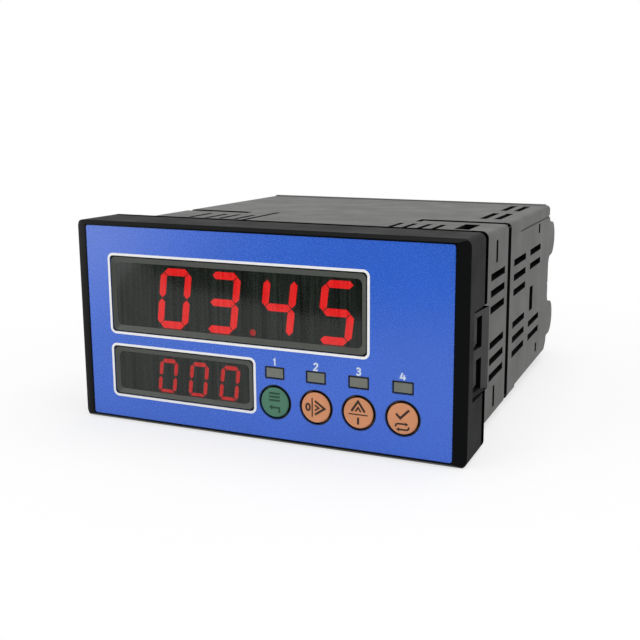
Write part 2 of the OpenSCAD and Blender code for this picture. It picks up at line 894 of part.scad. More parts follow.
// Groove for the mounting brackets: round both sides and a little way over the top and bottom
module mounting_groove() {
    left = groove_left_share * case_w;
    right = groove_right_share * case_w;
    slab(groove_y, groove_w) difference() {
        square([case_w + 2 * over, case_h + 2 * over], center = true);
        square([case_w - 2 * groove_t, case_h - 2 * groove_t], center = true);
        translate([left, -case_h]) square([right - left, 2 * case_h]);
    }
    for (s = [0, 1]) {
        mirror([0, 0, s])
            translate([right - groove_leg_w / 2, groove_y + groove_w - groove_leg_d, case_h / 2 - groove_t])
            cube([groove_leg_w, groove_leg_d, groove_t + over]);
    }
}

// One snap barb on the outside of an arm: a ramp in front and a square catch behind
module barb(z) {
    x = case_w / 2;
    back = tongue_window_d - latch_d - seat_gap;
    h = tongue_window_h - 2 * tongue_gap;
    translate([0, 0, z - h / 2]) linear_extrude(h)
        polygon([[x - over, back - barb_d], [x, back - barb_d], [x + barb_t, back - barb_d / 2],
            [x + barb_t, back], [x - over, back]]);
}

module case_tube() {
    slab(-case_lap, case_d + case_lap) rounded(case_w, case_h, case_corner_r);
}

module board_rails(s) {
    for (k = [-1, 1]) {
        translate([inner_w / 2 - rail_w, rail_y, s * board_z + k * rail_rise - rail_t / 2])
            cube([rail_w + over, rail_d, rail_t]);
    }
}

module case_shell() {
    color([0.45, 0.46, 0.44]) in_place() {
        difference() {
            union() {
                difference() {
                    case_tube();
                    slab(-case_lap - over, case_d + case_lap + 2 * over)
                        square([inner_w, inner_h], center = true);
                }
                rear_bead();
                both_sides() side_slab(inner_w / 2, case_wall) {
                    cheek_outline();
                    cheek_root_rounding(0, cheek_root_r);
                    cheek_root_rounding(1, cheek_root_r);
                    mirror([0, 1]) {
                        cheek_outline();
                        cheek_root_rounding(0, low_root_r);
                        cheek_root_rounding(1, cheek_root_r);
                    }
                    translate([-arm_d, latch_z - arm_h / 2]) square([arm_d, arm_h]);
                }
                both_sides() {
                    board_rails(1);
                    board_rails(-1);
                }
            }
            both_sides() side_vents();
            top_slots();
            mounting_groove();
            side_slab(-bezel_w, 2 * bezel_w) rear_corner_waste();
            both_sides() translate([case_w / 2 - line_t, line_y, line_z])
                cube([line_t + over, case_d, line_h]);
            both_sides() translate([inner_w / 2 - over, case_d - notch_d, notch_z - notch_h / 2])
                cube([case_wall + 2 * over, notch_d + over, notch_h]);
            both_sides() translate([0, edge_y, 0]) slab(0, case_d)
                polygon([[case_w / 2 + over, -case_h / 2 - over],
                    [case_w / 2 + over, edge_cut - case_h / 2 + over],
                    [case_w / 2 - edge_cut - over, -case_h / 2 - over]]);
        }
        both_sides() for (s = [-1, 1]) {
            barb(latch_z + s * (tongue_bar_h + tongue_window_h) / 2);
        }
    }
}

// An inner board lies flat in its rails; s is 1 for the upper one and -1 for the lower one
module inner_board(s) {
    translate([-board_w / 2, board_y, s * board_z - board_t / 2]) cube([board_w, board_d, board_t]);
}

module power_board() {
    color([0.12, 0.35, 0.2]) in_place() inner_board(-1);
}

module signal_board() {
    color([0.12, 0.35, 0.2]) in_place() inner_board(1);
}

module board_plug(s, y, d) {
    translate([-plug_w / 2, y, s > 0 ? floor_z - plug_h : -floor_z]) cube([plug_w, d, plug_h]);
}

module lower_board_socket() {
    color([0.85, 0.83, 0.75]) in_place() board_plug(-1, board_back, plug_y - board_back);
}

module upper_board_socket() {
    color([0.85, 0.83, 0.75]) in_place() board_plug(1, board_back, plug_y - board_back);
}

module lower_board_header() {
    color([0.15, 0.15, 0.15]) in_place() board_plug(-1, plug_y, plug_d);
}

module upper_board_header() {
    color([0.15, 0.15, 0.15]) in_place() board_plug(1, plug_y, plug_d);
}

// Stands a piece on the lower board at shares of its width and depth
module on_power_board(x_share, y_share) {
    translate([x_share * board_w, board_y + y_share * board_d, -floor_z]) children();
}

module transformer_core() {
    color([0.5, 0.5, 0.52]) in_place() on_power_board(core_at_shares[0], core_at_shares[1]) difference() {
        translate([-core_w / 2, -core_d / 2, 0]) cube([core_w, core_d, core_h]);
        for (s = [-1, 1]) {
            translate([s * core_w / 4 - core_leg / 2, -core_d, core_leg])
                cube([core_leg, 2 * core_d, core_h - 2 * core_leg]);
        }
    }
}

module transformer_coil() {
    leg = core_w / 2 - core_leg;
    color([0.75, 0.65, 0.3]) in_place() on_power_board(core_at_shares[0], core_at_shares[1])
        translate([0, 0, core_leg + coil_gap])
            linear_extrude(core_h - 2 * core_leg - 2 * coil_gap) difference() {
            square([leg + 2 * core_leg - 2 * coil_gap, coil_d], center = true);
            square([leg + 2 * coil_gap, core_d + 2 * coil_gap], center = true);
        }
}

module output_relays() {
    color([0.1, 0.25, 0.5]) in_place()
        for (share = relay_at_shares) {
            on_power_board(share, relay_row_share)
                translate([-relay_w / 2, -relay_d / 2, 0]) cube([relay_w, relay_d, relay_h]);
        }
}

module smoothing_capacitors() {
    color([0.1, 0.1, 0.2]) in_place()
        for (i = [0:len(capacitor_dias) - 1]) {
            on_power_board(capacitor_x_shares[i], capacitor_y_share)
                cylinder(h = capacitor_h * capacitor_dias[i] / capacitor_dias[0], d = capacitor_dias[i]);
        }
}

module signal_chips() {
    color([0.08, 0.08, 0.08]) in_place()
        for (i = [0:len(chip_sizes) - 1]) {
            translate([chip_x_shares[i] * board_w - chip_sizes[i][0] / 2,
                board_y + chip_y_shares[i] * board_d, floor_z - chip_t])
                cube([chip_sizes[i][0], chip_sizes[i][1], chip_t]);
        }
}

// A terminal block: a body that closes half of the case, with walls between the terminals
module terminal_block() {
    difference() {
        union() {
            translate([-block_w / 2, block_y, block_gap])
                cube([block_w, block_d, inner_h / 2 - 2 * block_gap]);
            for (i = [0:terminal_count]) {
                side_slab(i * terminal_pitch - block_w / 2, barrier_t) {
                    cheek_outline();
                    cheek_root_rounding(0, barrier_root_r);
                    cheek_root_rounding(1, barrier_root_r);
                }
            }
        }
        for (i = [0:terminal_count - 1]) {
            translate([terminal_x(i), 0, terminal_z])
                rod(case_d - shank_depth - over, shank_depth + 2 * over,
                    terminal_screw_dia + 2 * shank_gap);
            translate([terminal_x(i) - tag_leg_w / 2 - shank_gap, block_y - over,
                floor_z - tag_t - shank_gap])
                cube([tag_leg_w + 2 * shank_gap, block_d + 2 * over, tag_t + 2 * shank_gap]);
        }
    }
}

// Every terminal part of the lower row is the upper one upside down
module lower_row() {
    mirror([0, 0, 1]) children();
}

module upper_terminal_block() {
    color([0.12, 0.12, 0.13]) in_place() terminal_block();
}

module lower_terminal_block() {
    color([0.12, 0.12, 0.13]) in_place() difference() {
        lower_row() terminal_block();
        side_slab(-bezel_w, 2 * bezel_w) rear_corner_waste();
    }
}

// Tags: a plate on the block's rear face, and a leg through the block onto the board
module terminal_tags() {
    for (i = [0:terminal_count - 1]) {
        translate([terminal_x(i), case_d, 0]) {
            difference() {
                translate([-tag_w / 2, 0, terminal_z - tag_drop])
                    cube([tag_w, tag_t, floor_z - terminal_z + tag_drop]);
                translate([0, 0, terminal_z])
                    rod(-over, tag_t + 2 * over, terminal_screw_dia + 2 * shank_gap);
            }
            translate([-tag_leg_w / 2, -tag_leg_d, floor_z - tag_t]) cube([tag_leg_w, tag_leg_d, tag_t]);
        }
    }
}

module upper_terminal_tags() {
    color([0.75, 0.72, 0.6]) in_place() terminal_tags();
}

module lower_terminal_tags() {
    color([0.75, 0.72, 0.6]) in_place() lower_row() terminal_tags();
}

module clamp_plates() {
    for (i = [0:terminal_count - 1]) {
        translate([terminal_x(i), case_d + tag_t, terminal_z]) difference() {
            translate([-clamp_w / 2, 0, -clamp_w / 2]) cube([clamp_w, clamp_t, clamp_w]);
            rod(-over, clamp_t + 2 * over, terminal_screw_dia + 2 * shank_gap);
        }
    }
}

module upper_clamp_plates() {
    color([0.8, 0.8, 0.8]) in_place() clamp_plates();
}

module lower_clamp_plates() {
    color([0.8, 0.8, 0.8]) in_place() lower_row() clamp_plates();
}

module terminal_screws() {
    head_y = case_d + tag_t + clamp_t;
    for (i = [0:terminal_count - 1]) {
        translate([terminal_x(i), 0, terminal_z]) {
            rod(case_d - shank_depth, head_y + over - case_d + shank_depth, terminal_screw_dia);
            difference() {
                rod(head_y, head_t, terminal_head_dia);
                for (turn = [0, 90]) {
                    rotate([0, turn, 0])
                        translate([-terminal_head_dia / 3, head_y + head_t - screw_slot_t,
                            -screw_slot_w / 2])
                        cube([terminal_head_dia * 2 / 3, screw_slot_t + over, screw_slot_w]);
                }
            }
        }
    }
}

module upper_terminal_screws() {
    color([0.8, 0.8, 0.82]) in_place() terminal_screws();
}

module lower_terminal_screws() {
    color([0.8, 0.8, 0.82]) in_place() lower_row() terminal_screws();
}

bezel_frame();
fascia_overlay();
main_window_lens();
lower_window_lens();
indicator_lenses();
key_set();
key_shift();
key_up();
key_enter();
plunger_set();
plunger_shift();
plunger_up();
plunger_enter();
display_board();
display_board_screws();
main_display_housing();
main_segments_lit();
main_segments_dark();
lower_display_housing();
lower_segments_lit();
lower_segments_dark();
indicator_leds();
switch_bodies();
case_shell();
power_board();
signal_board();
lower_board_socket();
upper_board_socket();
lower_board_header();
upper_board_header();
transformer_core();
transformer_coil();
output_relays();
smoothing_capacitors();
signal_chips();
upper_terminal_block();
lower_terminal_block();
upper_terminal_tags();
lower_terminal_tags();
upper_clamp_plates();
lower_clamp_plates();
upper_terminal_screws();
lower_terminal_screws();
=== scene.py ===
"""Dresses a panel-mounted weighing indicator.

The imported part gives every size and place. Each operator adds one group of
pieces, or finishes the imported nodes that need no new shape. All lengths are in
metres, with the keys and windows facing -Y and Z up.
"""

import math

import bmesh
import bpy
from bpy.props import FloatProperty, FloatVectorProperty, PointerProperty
from bpy.types import Operator, Panel, PropertyGroup
from mathutils import Matrix, Vector


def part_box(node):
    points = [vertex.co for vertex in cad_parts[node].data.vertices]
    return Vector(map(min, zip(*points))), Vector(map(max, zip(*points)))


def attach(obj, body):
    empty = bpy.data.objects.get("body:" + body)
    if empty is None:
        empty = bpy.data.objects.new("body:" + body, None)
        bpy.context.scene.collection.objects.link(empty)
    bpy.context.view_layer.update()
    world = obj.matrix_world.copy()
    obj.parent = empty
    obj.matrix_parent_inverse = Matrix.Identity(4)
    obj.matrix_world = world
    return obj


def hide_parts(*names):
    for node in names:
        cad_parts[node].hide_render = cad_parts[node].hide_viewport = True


bl_info = {
    "name": "Weighing Indicator",
    "version": (1, 0, 0),
    "blender": (4, 5, 0),
    "location": "3D Viewport > Sidebar > Indicator",
    "description": "Adds the housing, smoked windows, lit readouts and keys of a weighing indicator",
    "category": "Object",
}

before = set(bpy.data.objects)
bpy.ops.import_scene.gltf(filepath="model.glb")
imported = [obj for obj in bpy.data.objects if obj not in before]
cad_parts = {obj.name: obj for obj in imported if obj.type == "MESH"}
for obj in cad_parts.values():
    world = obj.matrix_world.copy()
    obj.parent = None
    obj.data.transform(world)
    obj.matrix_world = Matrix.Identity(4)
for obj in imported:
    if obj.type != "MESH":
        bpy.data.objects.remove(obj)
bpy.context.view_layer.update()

MM = 0.001
INSTRUMENT = "instrument"
KEY_BODIES = {
    "key_set": "set_key",
    "key_shift": "shift_key",
    "key_up": "up_key",
    "key_enter": "enter_key",
}

BEZEL_LOW, BEZEL_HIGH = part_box("bezel_frame")
PANEL_Y = BEZEL_HIGH.y
MIDDLE_Z = (BEZEL_LOW.z + BEZEL_HIGH.z) / 2
FILM_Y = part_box("fascia_overlay")[0].y
LIP_Y = BEZEL_LOW.y

# The windows: the hidden flange, the dark gap round the face, the printed outline, the bevel,
# which reaches a little into the gap, the pane, which laps under the bevel, and how much of what
# lies behind them the pane's sides and back hide.
LENS_FLANGE = 1.0 * MM
LENS_GAP = 0.5 * MM
OUTLINE_WIDTH = 0.58 * MM
OUTLINE_RADIUS = 1.5 * MM
BEVEL_REACH = 0.2 * MM
BEVEL_SIDE = 0.8 * MM
BEVEL_ENDS = {"main_window": 1.05 * MM, "lower_window": 0.85 * MM}
BEVEL_DEPTH = 0.4 * MM
PANE_THICKNESS = 0.6 * MM
PANE_LAP = 0.3 * MM
PANE_CLEARANCE = 0.01 * MM
BEVEL_CORNER_SHARE = 1.2
CLEAR_SHARE = 0.03

# The readouts: how brightly the small one and the point shine, and where the point is.
LOWER_LIT_SHARE = 0.64
POINT_LIT_SHARE = 0.45
POINT_X = -2.25 * MM
POINT_REACH = 1.4 * MM

# Printing: its height over the sheet, how far it reaches in, the step between crossing strokes,
# the numerals' rise over the small windows, and the height of the nought on a key.
INK_THICKNESS = 0.03 * MM
INK_BACK = 0.02 * MM
INK_LAYER = 0.008 * MM
NUMERAL_RISE = 2.45 * MM
KEY_NOUGHT_HEIGHT = 1.9 * MM

# Shapes: the keys' dish and grain, the rounding of small pieces and of lit strokes, the edge angle
# above which it applies, the steps of a round corner and of a circle, how close two corners or
# two planes count as one, and the least spread that a stroke's mitred corner is drawn with.
KEY_DISH = 0.03 * MM
KEY_GRAIN = 0.012 * MM
SMALL_ROUNDING = 0.1 * MM
STROKE_ROUNDING = 0.22 * MM
ROUNDED_ABOVE = math.radians(38)
CORNER_STEPS = 8
CIRCLE_STEPS = 48
SAME_CORNER = 0.002 * MM
SAME_PLANE = math.radians(0.5)
MITRE_LIMIT = 0.5

# How far a face's normal points to the front, or up or down, for a rim, a pane, a key or a
# level face.
RIM_FACING = -0.1
PANE_FACING = -0.5
KEY_FACING = -0.6
LEVEL = 0.99

# The bezel: its polished rim, its latches, where its sides' outer faces start, and the band along its
# rear edge that is painted dark as shade.
RIM_DEPTH = 1.3 * MM
# The latches get the rim's darker plastic, which paints the shade that falls on them.
LATCH_FRONT = 3.0 * MM
LATCH_HALF_HEIGHT = 9.6 * MM
BEZEL_SIDE_INSIDE = 46.2 * MM
REAR_SHADE_BAND = 2.3 * MM

# The dark rims round the keys, which paint the shade of the gap round each key, and round the small
# windows.
KEY_GAP = 0.4 * MM
KEY_FACE_RADIUS = 3.4 * MM
RIM_WIDTH = 0.2 * MM
INDICATOR_WIDTH = 4.4 * MM
INDICATOR_HEIGHT = 2.45 * MM

# The case's outer half sizes, how far in the painted shade on its inner walls starts, and where it
# ends.
CASE_HALF_WIDTH = 45.8 * MM
CASE_HALF_HEIGHT = 22.4 * MM
INSIDE_SHADE_DEPTH = 0.45 * MM
INSIDE_SHADE_END = PANEL_Y + 72 * MM


def srgb(red, green, blue):
    """A colour given by its 0 to 255 sRGB values, as linear light."""

    def channel(value):
        value /= 255
        return value / 12.92 if value <= 0.04045 else ((value + 0.055) / 1.055) ** 2.4

    return channel(red), channel(green), channel(blue)


def colour_setting(name, description, default):
    """A colour that a user can change."""
    return FloatVectorProperty(
        name=name,
        description=description,
        default=default,
        subtype="COLOR",
        size=3,
        min=0,
        max=1,
    )


def length_setting(name, description, default, most):
    """A length that a user can change."""
    return FloatProperty(
        name=name,
        description=description,
        default=default,
        min=0,
        max=most,
        unit="LENGTH",
        precision=5,
    )


def share_setting(name, description, default, most=1):
    """A share or strength that a user can change."""
    return FloatProperty(
        name=name, description=description, default=default, min=0, max=most, subtype="FACTOR"
    )


class HousingSettings(PropertyGroup):
    """The bezel, the case and the terminal blocks."""

    bezel_colour: colour_setting("Bezel colour", "Textured plastic of the bezel", srgb(21, 22, 21))
    rim_colour: colour_setting("Rim colour", "Polished rim round the fascia", srgb(10, 11, 12))
    case_colour: colour_setting("Case colour", "Moulded plastic of the case", srgb(80, 82, 79))
    # Painted shade: the walls inside the case's slots, vents and grooves get this dark colour.
    inner_colour: colour_setting("Inner colour", "Unlit walls inside the case", srgb(13, 13, 14))
    terminal_colour: colour_setting(
        "Terminal colour", "Plastic of the terminal blocks", srgb(40, 41, 42)
    )
    edge_rounding: length_setting("Edge rounding", "Radius of the moulded edges", 0.16 * MM, 0.5 * MM)
    grain_depth: length_setting("Grain depth", "Depth of the moulded grain", 0.02 * MM, 0.2 * MM)


class FasciaSettings(PropertyGroup):
    """The printed sheet and what is printed on it."""

    film_colour: colour_setting("Sheet colour", "Blue of the printed sheet", srgb(28, 96, 212))
    outline_colour: colour_setting(
        "Outline colour", "Printed outline of the windows", srgb(255, 255, 255)
    )
    numeral_colour: colour_setting("Numeral colour", "Printed numerals", srgb(224, 234, 250))
    numeral_height: length_setting("Numeral height", "Height of the printed numerals", 1.9 * MM, 3 * MM)
    numeral_stroke: length_setting("Numeral stroke", "Width of their strokes", 0.38 * MM, 1 * MM)


class WindowSettings(PropertyGroup):
    """The smoked windows and the readouts behind them."""

    band_colour: colour_setting("Bevel colour", "Bevelled edge of the windows", srgb(68, 71, 65))
    smoke_colour: colour_setting("Smoke colour", "Tint of the panes", srgb(36, 41, 36))
    smoke: share_setting("Smoke", "How much of what lies behind the panes they hide", 0.88)
    lit_colour: colour_setting("Lit colour", "Strokes that are on", (1.0, 0.005, 0.008))
    lit_strength: FloatProperty(
        name="Lit strength", description="Light of the strokes that are on", default=6.4, min=0, max=40
    )
    indicator_colour: colour_setting("Indicator colour", "The four small windows", srgb(114, 117, 106))


class KeySettings(PropertyGroup):
    """The four keys."""

    green: colour_setting("Green key", "Colour of the first key", srgb(74, 128, 102))
    orange: colour_setting("Orange keys", "Colour of the other keys", srgb(224, 151, 104))
    green_mark: colour_setting("Green key's marks", "Ink on the green key", srgb(26, 72, 50))
    orange_mark: colour_setting("Orange keys' marks", "Ink on the orange keys", srgb(52, 28, 16))
    mark_stroke: length_setting("Mark stroke", "Width of the marks' strokes", 0.42 * MM, 1 * MM)


class StageSettings(PropertyGroup):
    """The floor, the light and the background."""

    floor_colour: colour_setting("Floor colour", "Plain pale floor", (0.97, 0.97, 0.97))
    fill_strength: share_setting("Fill light", "Light from all round", 0.4, 2)
    top_strength: share_setting("Top lamp", "Strength of the soft light from above", 1.5, 10)
    front_strength: share_setting("Front lamp", "Strength of the light from the front left", 0.8, 10)
    side_strength: share_setting("Side lamp", "Strength of the soft light from the right", 0.32, 10)


class IndicatorSettings(PropertyGroup):
    """All settings of the indicator."""

    housing: PointerProperty(type=HousingSettings)
    fascia: PointerProperty(type=FasciaSettings)
    windows: PointerProperty(type=WindowSettings)
    keys: PointerProperty(type=KeySettings)
    stage: PointerProperty(type=StageSettings)


# Finishes

# The stretch that makes upright hairlines, the scale of the boards' tracks, the bands per metre of
# a wave texture at scale 1, and how softly the painted shade along the bezel's rear edge sets in.
HAIRLINES = (1, 1, 0.02)
TRACK_SCALE = (180, 180, 180)
WAVES_PER_SCALE = 3.18
SHADE_FADE = 0.1 * MM


class Finish:
    """A material with short ways to add and wire its nodes."""

    def __init__(self, name, roughness, specular):
        self.material = bpy.data.materials.new(name)
        self.material.use_nodes = True
        self.nodes = self.material.node_tree.nodes
        self.links = self.material.node_tree.links
        self.shader = self.nodes["Principled BSDF"]
        self.set(Roughness=roughness)
        self.shader.inputs["Specular IOR Level"].default_value = specular
        self.place = self.nodes.new("ShaderNodeTexCoord").outputs["Object"]

    def set(self, **values):
        for name, value in values.items():
            socket = self.shader.inputs[name.replace("_", " ")]
            socket.default_value = (*value, 1) if socket.type == "RGBA" else value

    def wire(self, output, name):
        self.links.new(output, self.shader.inputs[name])

    def add(self, kind, **values):
        """A new node with those input values."""
        node = self.nodes.new(f"ShaderNode{kind}")
        for name, value in values.items():
            node.inputs[name.replace("_", " ")].default_value = value
        return node

    def stretched(self, scale):
        mapping = self.add("Mapping", Scale=scale)
        self.links.new(self.place, mapping.inputs["Vector"])
        return mapping.outputs["Vector"]

    def noise(self, grain, detail=2, place=None):
        """Noise whose grains are about that size."""
        node = self.add("TexNoise", Scale=1 / grain, Detail=detail)
        self.links.new(place or self.place, node.inputs["Vector"])
        return node.outputs["Fac"]

    def spread(self, value, low, high, at=(0.3, 0.7)):
        """A texture's value carried to the range from low to high."""
        node = self.add("MapRange", From_Min=at[0], From_Max=at[1], To_Min=low, To_Max=high)
        self.links.new(value, node.inputs["Value"])
        return node.outputs["Result"]

    def shade(self, value, colour, darker, lighter):
        """A colour that a texture's value takes from a darker to a lighter tone."""
        return self.blend(self.spread(value, 0, 1), tone(colour, darker), tone(colour, lighter))

    def blend(self, share, first, second):
        """Two colours, each given or from an output, mixed by a texture's value."""
        node = self.add("Mix")
        node.data_type = "RGBA"
        self.links.new(share, node.inputs["Factor"])
        for name, colour in (("A", first), ("B", second)):
            if isinstance(colour, tuple):
                node.inputs[name].default_value = (*colour, 1)
            else:
                self.links.new(colour, node.inputs[name])
        return node.outputs["Result"]

    def relief(self, height, depth):
        """Bumps of that depth from a texture's value."""
        node = self.add("Bump", Distance=depth)
        self.links.new(height, node.inputs["Height"])
        self.wire(node.outputs["Normal"], "Normal")


def tone(colour, by):
    """A colour made lighter or darker."""
    return tuple(min(1.0, channel * by) for channel in colour)


def moulded_plastic(
    name, colour, roughness=0.5, depth=0.02 * MM, specular=0.35, spread=0.08, grain=0.22 * MM,
    shade_y=None,
):
    """Moulded plastic with fine grain, soft mottling and uneven gloss, and painted shade, dark and
    without gloss, behind the y it is given.
    """
    finish = Finish(name, roughness, specular)
    mottle = finish.noise(grain=9 * MM, detail=3)
    fine = finish.noise(grain)
    base = finish.shade(mottle, colour, 1 - spread, 1 + spread)
    base = finish.blend(finish.spread(fine, 0, 0.3), base, tone(colour, 0.8))
    # Painted shade: from the given y backwards the colour turns dark and the gloss goes, where the
    # bezel meets the case.
    if shade_y is not None:
        parts = finish.add("SeparateXYZ")
        finish.links.new(finish.place, parts.inputs["Vector"])
        behind = finish.spread(parts.outputs["Y"], 0, 1, (shade_y - SHADE_FADE, shade_y))
        base = finish.blend(behind, base, tone(colour, 0.1))
        finish.wire(finish.spread(behind, specular, 0, (0, 1)), "Specular IOR Level")
    finish.wire(base, "Base Color")
    finish.wire(finish.spread(mottle, roughness - 0.05, roughness + 0.07), "Roughness")
    finish.relief(fine, depth)
    return finish.material


def printed_film(name, colour):
    """Satin printed sheet with a fine speckle."""
    finish = Finish(name, 0.24, 0.75)
    speckle = finish.noise(grain=0.32 * MM, detail=3)
    cloud = finish.noise(grain=14 * MM)
    base = finish.shade(cloud, colour, 0.96, 1.05)
    finish.wire(finish.blend(finish.spread(speckle, 0, 0.3), base, tone(colour, 1.35)), "Base Color")
    finish.wire(finish.spread(speckle, 0.2, 0.32), "Roughness")
    finish.relief(speckle, depth=0.01 * MM)
    return finish.material


def printing_ink(name, colour):
    """Screen-printed ink, a little uneven."""
    finish = Finish(name, 0.45, 0.3)
    uneven = finish.noise(grain=0.25 * MM)
    finish.wire(finish.shade(uneven, colour, 0.93, 1), "Base Color")
    finish.relief(uneven, depth=0.004 * MM)
    return finish.material


def smoked_pane(name, colour, smoke):
    """Smoked acrylic with faint upright ribs, which hides that share of what lies behind it."""
    finish = Finish(name, 0.09, 0.33)
    finish.set(Alpha=smoke)
    ribs = finish.noise(grain=0.5 * MM, place=finish.stretched(HAIRLINES))
    finish.wire(finish.shade(ribs, colour, 0.3, 1.7), "Base Color")
    return finish.material


def bevel_band(name, colour):
    """Frosted bevel of a smoked window, with faint scratches along it."""
    finish = Finish(name, 0.4, 0.4)
    streaks = finish.noise(grain=0.12 * MM, place=finish.stretched((0.05, 1, 1)))
    cloud = finish.noise(grain=5 * MM)
    base = finish.shade(cloud, colour, 0.9, 1.1)
    finish.wire(finish.blend(finish.spread(streaks, 0, 0.3), base, tone(colour, 1.2)), "Base Color")
    finish.wire(finish.spread(streaks, 0.32, 0.48), "Roughness")
    finish.relief(streaks, depth=0.004 * MM)
    return finish.material


def lit_stroke(name, colour, strength):
    """Diffused red light, a little uneven along each stroke."""
    finish = Finish(name, 0.4, 0.3)
    uneven = finish.noise(grain=1.6 * MM, detail=1)
    finish.set(Emission_Strength=strength)
    finish.wire(finish.shade(uneven, colour, 0.86, 1), "Emission Color")
    finish.wire(finish.shade(uneven, colour, 0.3, 0.4), "Base Color")
    return finish.material


def readout_face(name, colour):
    """Matt black face with fine upright hairlines."""
    finish = Finish(name, 0.55, 0.25)
    hairlines = finish.noise(grain=0.5 * MM, place=finish.stretched(HAIRLINES))
    finish.wire(finish.shade(hairlines, colour, 0.6, 1.5), "Base Color")
    finish.relief(hairlines, depth=0.01 * MM)
    return finish.material


def cut_metal(name, colour, roughness=0.3, streak=(1, 0.05, 1)):
    """Plated or plain metal with fine tool marks and a little tarnish."""
    finish = Finish(name, roughness, 0.5)
    finish.set(Metallic=1.0)
    marks = finish.noise(grain=0.1 * MM, place=finish.stretched(streak))
    tarnish = finish.noise(grain=1.5 * MM, detail=3)
    finish.wire(finish.shade(tarnish, colour, 0.78, 1.05), "Base Color")
    finish.wire(finish.spread(marks, roughness - 0.08, roughness + 0.14), "Roughness")
    finish.relief(marks, depth=0.006 * MM)
    return finish.material


def circuit_mask(name, colour):
    """Green board with raised tracks under its mask."""
    finish = Finish(name, 0.35, 0.5)
    tracks = finish.add("TexBrick", Scale=1, Mortar_Size=0.06, Mortar_Smooth=0.3)
    finish.links.new(finish.stretched(TRACK_SCALE), tracks.inputs["Vector"])
    weave = finish.noise(grain=0.6 * MM)
    base = finish.shade(weave, colour, 0.85, 1.1)
    finish.wire(finish.blend(tracks.outputs["Fac"], base, tone(colour, 1.7)), "Base Color")
    finish.relief(tracks.outputs["Fac"], depth=0.03 * MM)
    return finish.material


def layered(name, colour, pitch, along, metallic=0.0):
    """Thin layers side by side, such as laminations or turns of tape."""
    finish = Finish(name, 0.45, 0.4)
    finish.set(Metallic=metallic)
    scale = 1 / pitch / WAVES_PER_SCALE
    layers = finish.add("TexWave", Scale=scale, Distortion=0.6, Detail=1)
    layers.bands_direction = along
    finish.links.new(finish.place, layers.inputs["Vector"])
    uneven = finish.noise(grain=2 * MM)
    base = finish.shade(uneven, colour, 0.85, 1.1)
    finish.wire(finish.blend(layers.outputs["Fac"], tone(colour, 0.6), base), "Base Color")
    finish.relief(layers.outputs["Fac"], depth=0.05 * MM)
    return finish.material


# Shapes


def rounded_outline(width, height, radius, x=0.0, z=0.0):
    """Points round a rectangle with round corners."""
    points = []
    for turn, (side, end) in enumerate([(1, 1), (-1, 1), (-1, -1), (1, -1)]):
        for step in range(CORNER_STEPS + 1):
            angle = math.radians(90 * (turn + step / CORNER_STEPS))
            points.append(
                (
                    x + side * (width / 2 - radius) + radius * math.cos(angle),
                    z + end * (height / 2 - radius) + radius * math.sin(angle),
                )
            )
    return points


def round_outline(radius, x, z):
    """Points round a circle."""
    turns = [2 * math.pi * step / CIRCLE_STEPS for step in range(CIRCLE_STEPS)]
    return [(x + radius * math.cos(turn), z + radius * math.sin(turn)) for turn in turns]


def stroke_sides(points, width, closed):
    """The two sides of a stroke of that width along some points, with mitred corners."""
    line = [Vector(p) for p in points]
    count = len(line)
    left, right = [], []
    for index, here in enumerate(line):
        before = line[index - 1] if closed or index else None
        after = line[(index + 1) % count] if closed or index < count - 1 else None
        coming = (here - before).normalized() if before else None
        going = (after - here).normalized() if after else None
        heading = ((coming or going) + (going or coming)).normalized()
        across = Vector((-heading.y, heading.x))
        spread = across.dot(Vector((-(going or coming).y, (going or coming).x)))
        reach = across * (width / 2 / max(spread, MITRE_LIMIT))
        left.append(tuple(here + reach))
        right.append(tuple(here - reach))
    return left, right


def add_band(shape, outer, inner, outer_y, inner_y, back_y, closed=True):
    """A ring or strip between two lines of points, from its front to back_y."""
    rows = []
    for line, y in ((outer, outer_y), (inner, inner_y), (inner, back_y), (outer, back_y)):
        rows.append([shape.verts.new((x, y, z)) for x, z in line])
    count = len(outer)
    for index in range(count if closed else count - 1):
        after = (index + 1) % count
        for row in range(4):
            ahead = (row + 1) % 4
            shape.faces.new(
                (rows[row][index], rows[row][after], rows[ahead][after], rows[ahead][index])
            )
    if not closed:
        for end in (0, -1):
            shape.faces.new([row[end] for row in rows])


def add_patch(shape, points, front_y, back_y):
    """A filled outline from front_y to back_y."""
    front = [shape.verts.new((x, front_y, z)) for x, z in points]
    back = [shape.verts.new((x, back_y, z)) for x, z in points]
    shape.faces.new(front)
    shape.faces.new(back)
    for index in range(len(points)):
        after = (index + 1) % len(points)
        shape.faces.new((front[index], front[after], back[after], back[index]))


def make_piece(name, shape, finish, body=INSTRUMENT, smooth_below=35):
    """A scene object from a built shape, riding on a body of the part."""
    bmesh.ops.recalc_face_normals(shape, faces=shape.faces)
    mesh = bpy.data.meshes.new(name)
    shape.to_mesh(mesh)
    shape.free()
    return link_piece(name, mesh, finish, body, smooth_below)


def link_piece(name, mesh, finish, body=INSTRUMENT, smooth_below=35):
    """Puts a mesh into the scene with its finish, body and material slot."""
    for polygon in mesh.polygons:
        polygon.use_smooth = True
    mesh.set_sharp_from_angle(angle=math.radians(smooth_below))
    mesh.materials.append(finish)
    piece = bpy.data.objects.new(name, mesh)
    bpy.context.scene.collection.objects.link(piece)
    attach(piece, body)
    return piece


def joined_mesh(node):
    """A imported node's shape with its doubled corners joined and its flat faces merged."""
    shape = bmesh.new()
    shape.from_mesh(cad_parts[node].data)
    bmesh.ops.remove_doubles(shape, verts=shape.verts, dist=SAME_CORNER)
    bmesh.ops.recalc_face_normals(shape, faces=shape.faces)
    bmesh.ops.join_triangles(
        shape,
        faces=shape.faces,
        angle_face_threshold=SAME_PLANE,
        angle_shape_threshold=math.radians(180),
    )
    corners = [vert.co.copy() for vert in shape.verts]
    shape.verts.index_update()
    faces = [[vert.index for vert in face.verts] for face in shape.faces]
    shape.free()
    mesh = bpy.data.meshes.new(node)
    mesh.from_pydata(corners, [], faces)
    return mesh


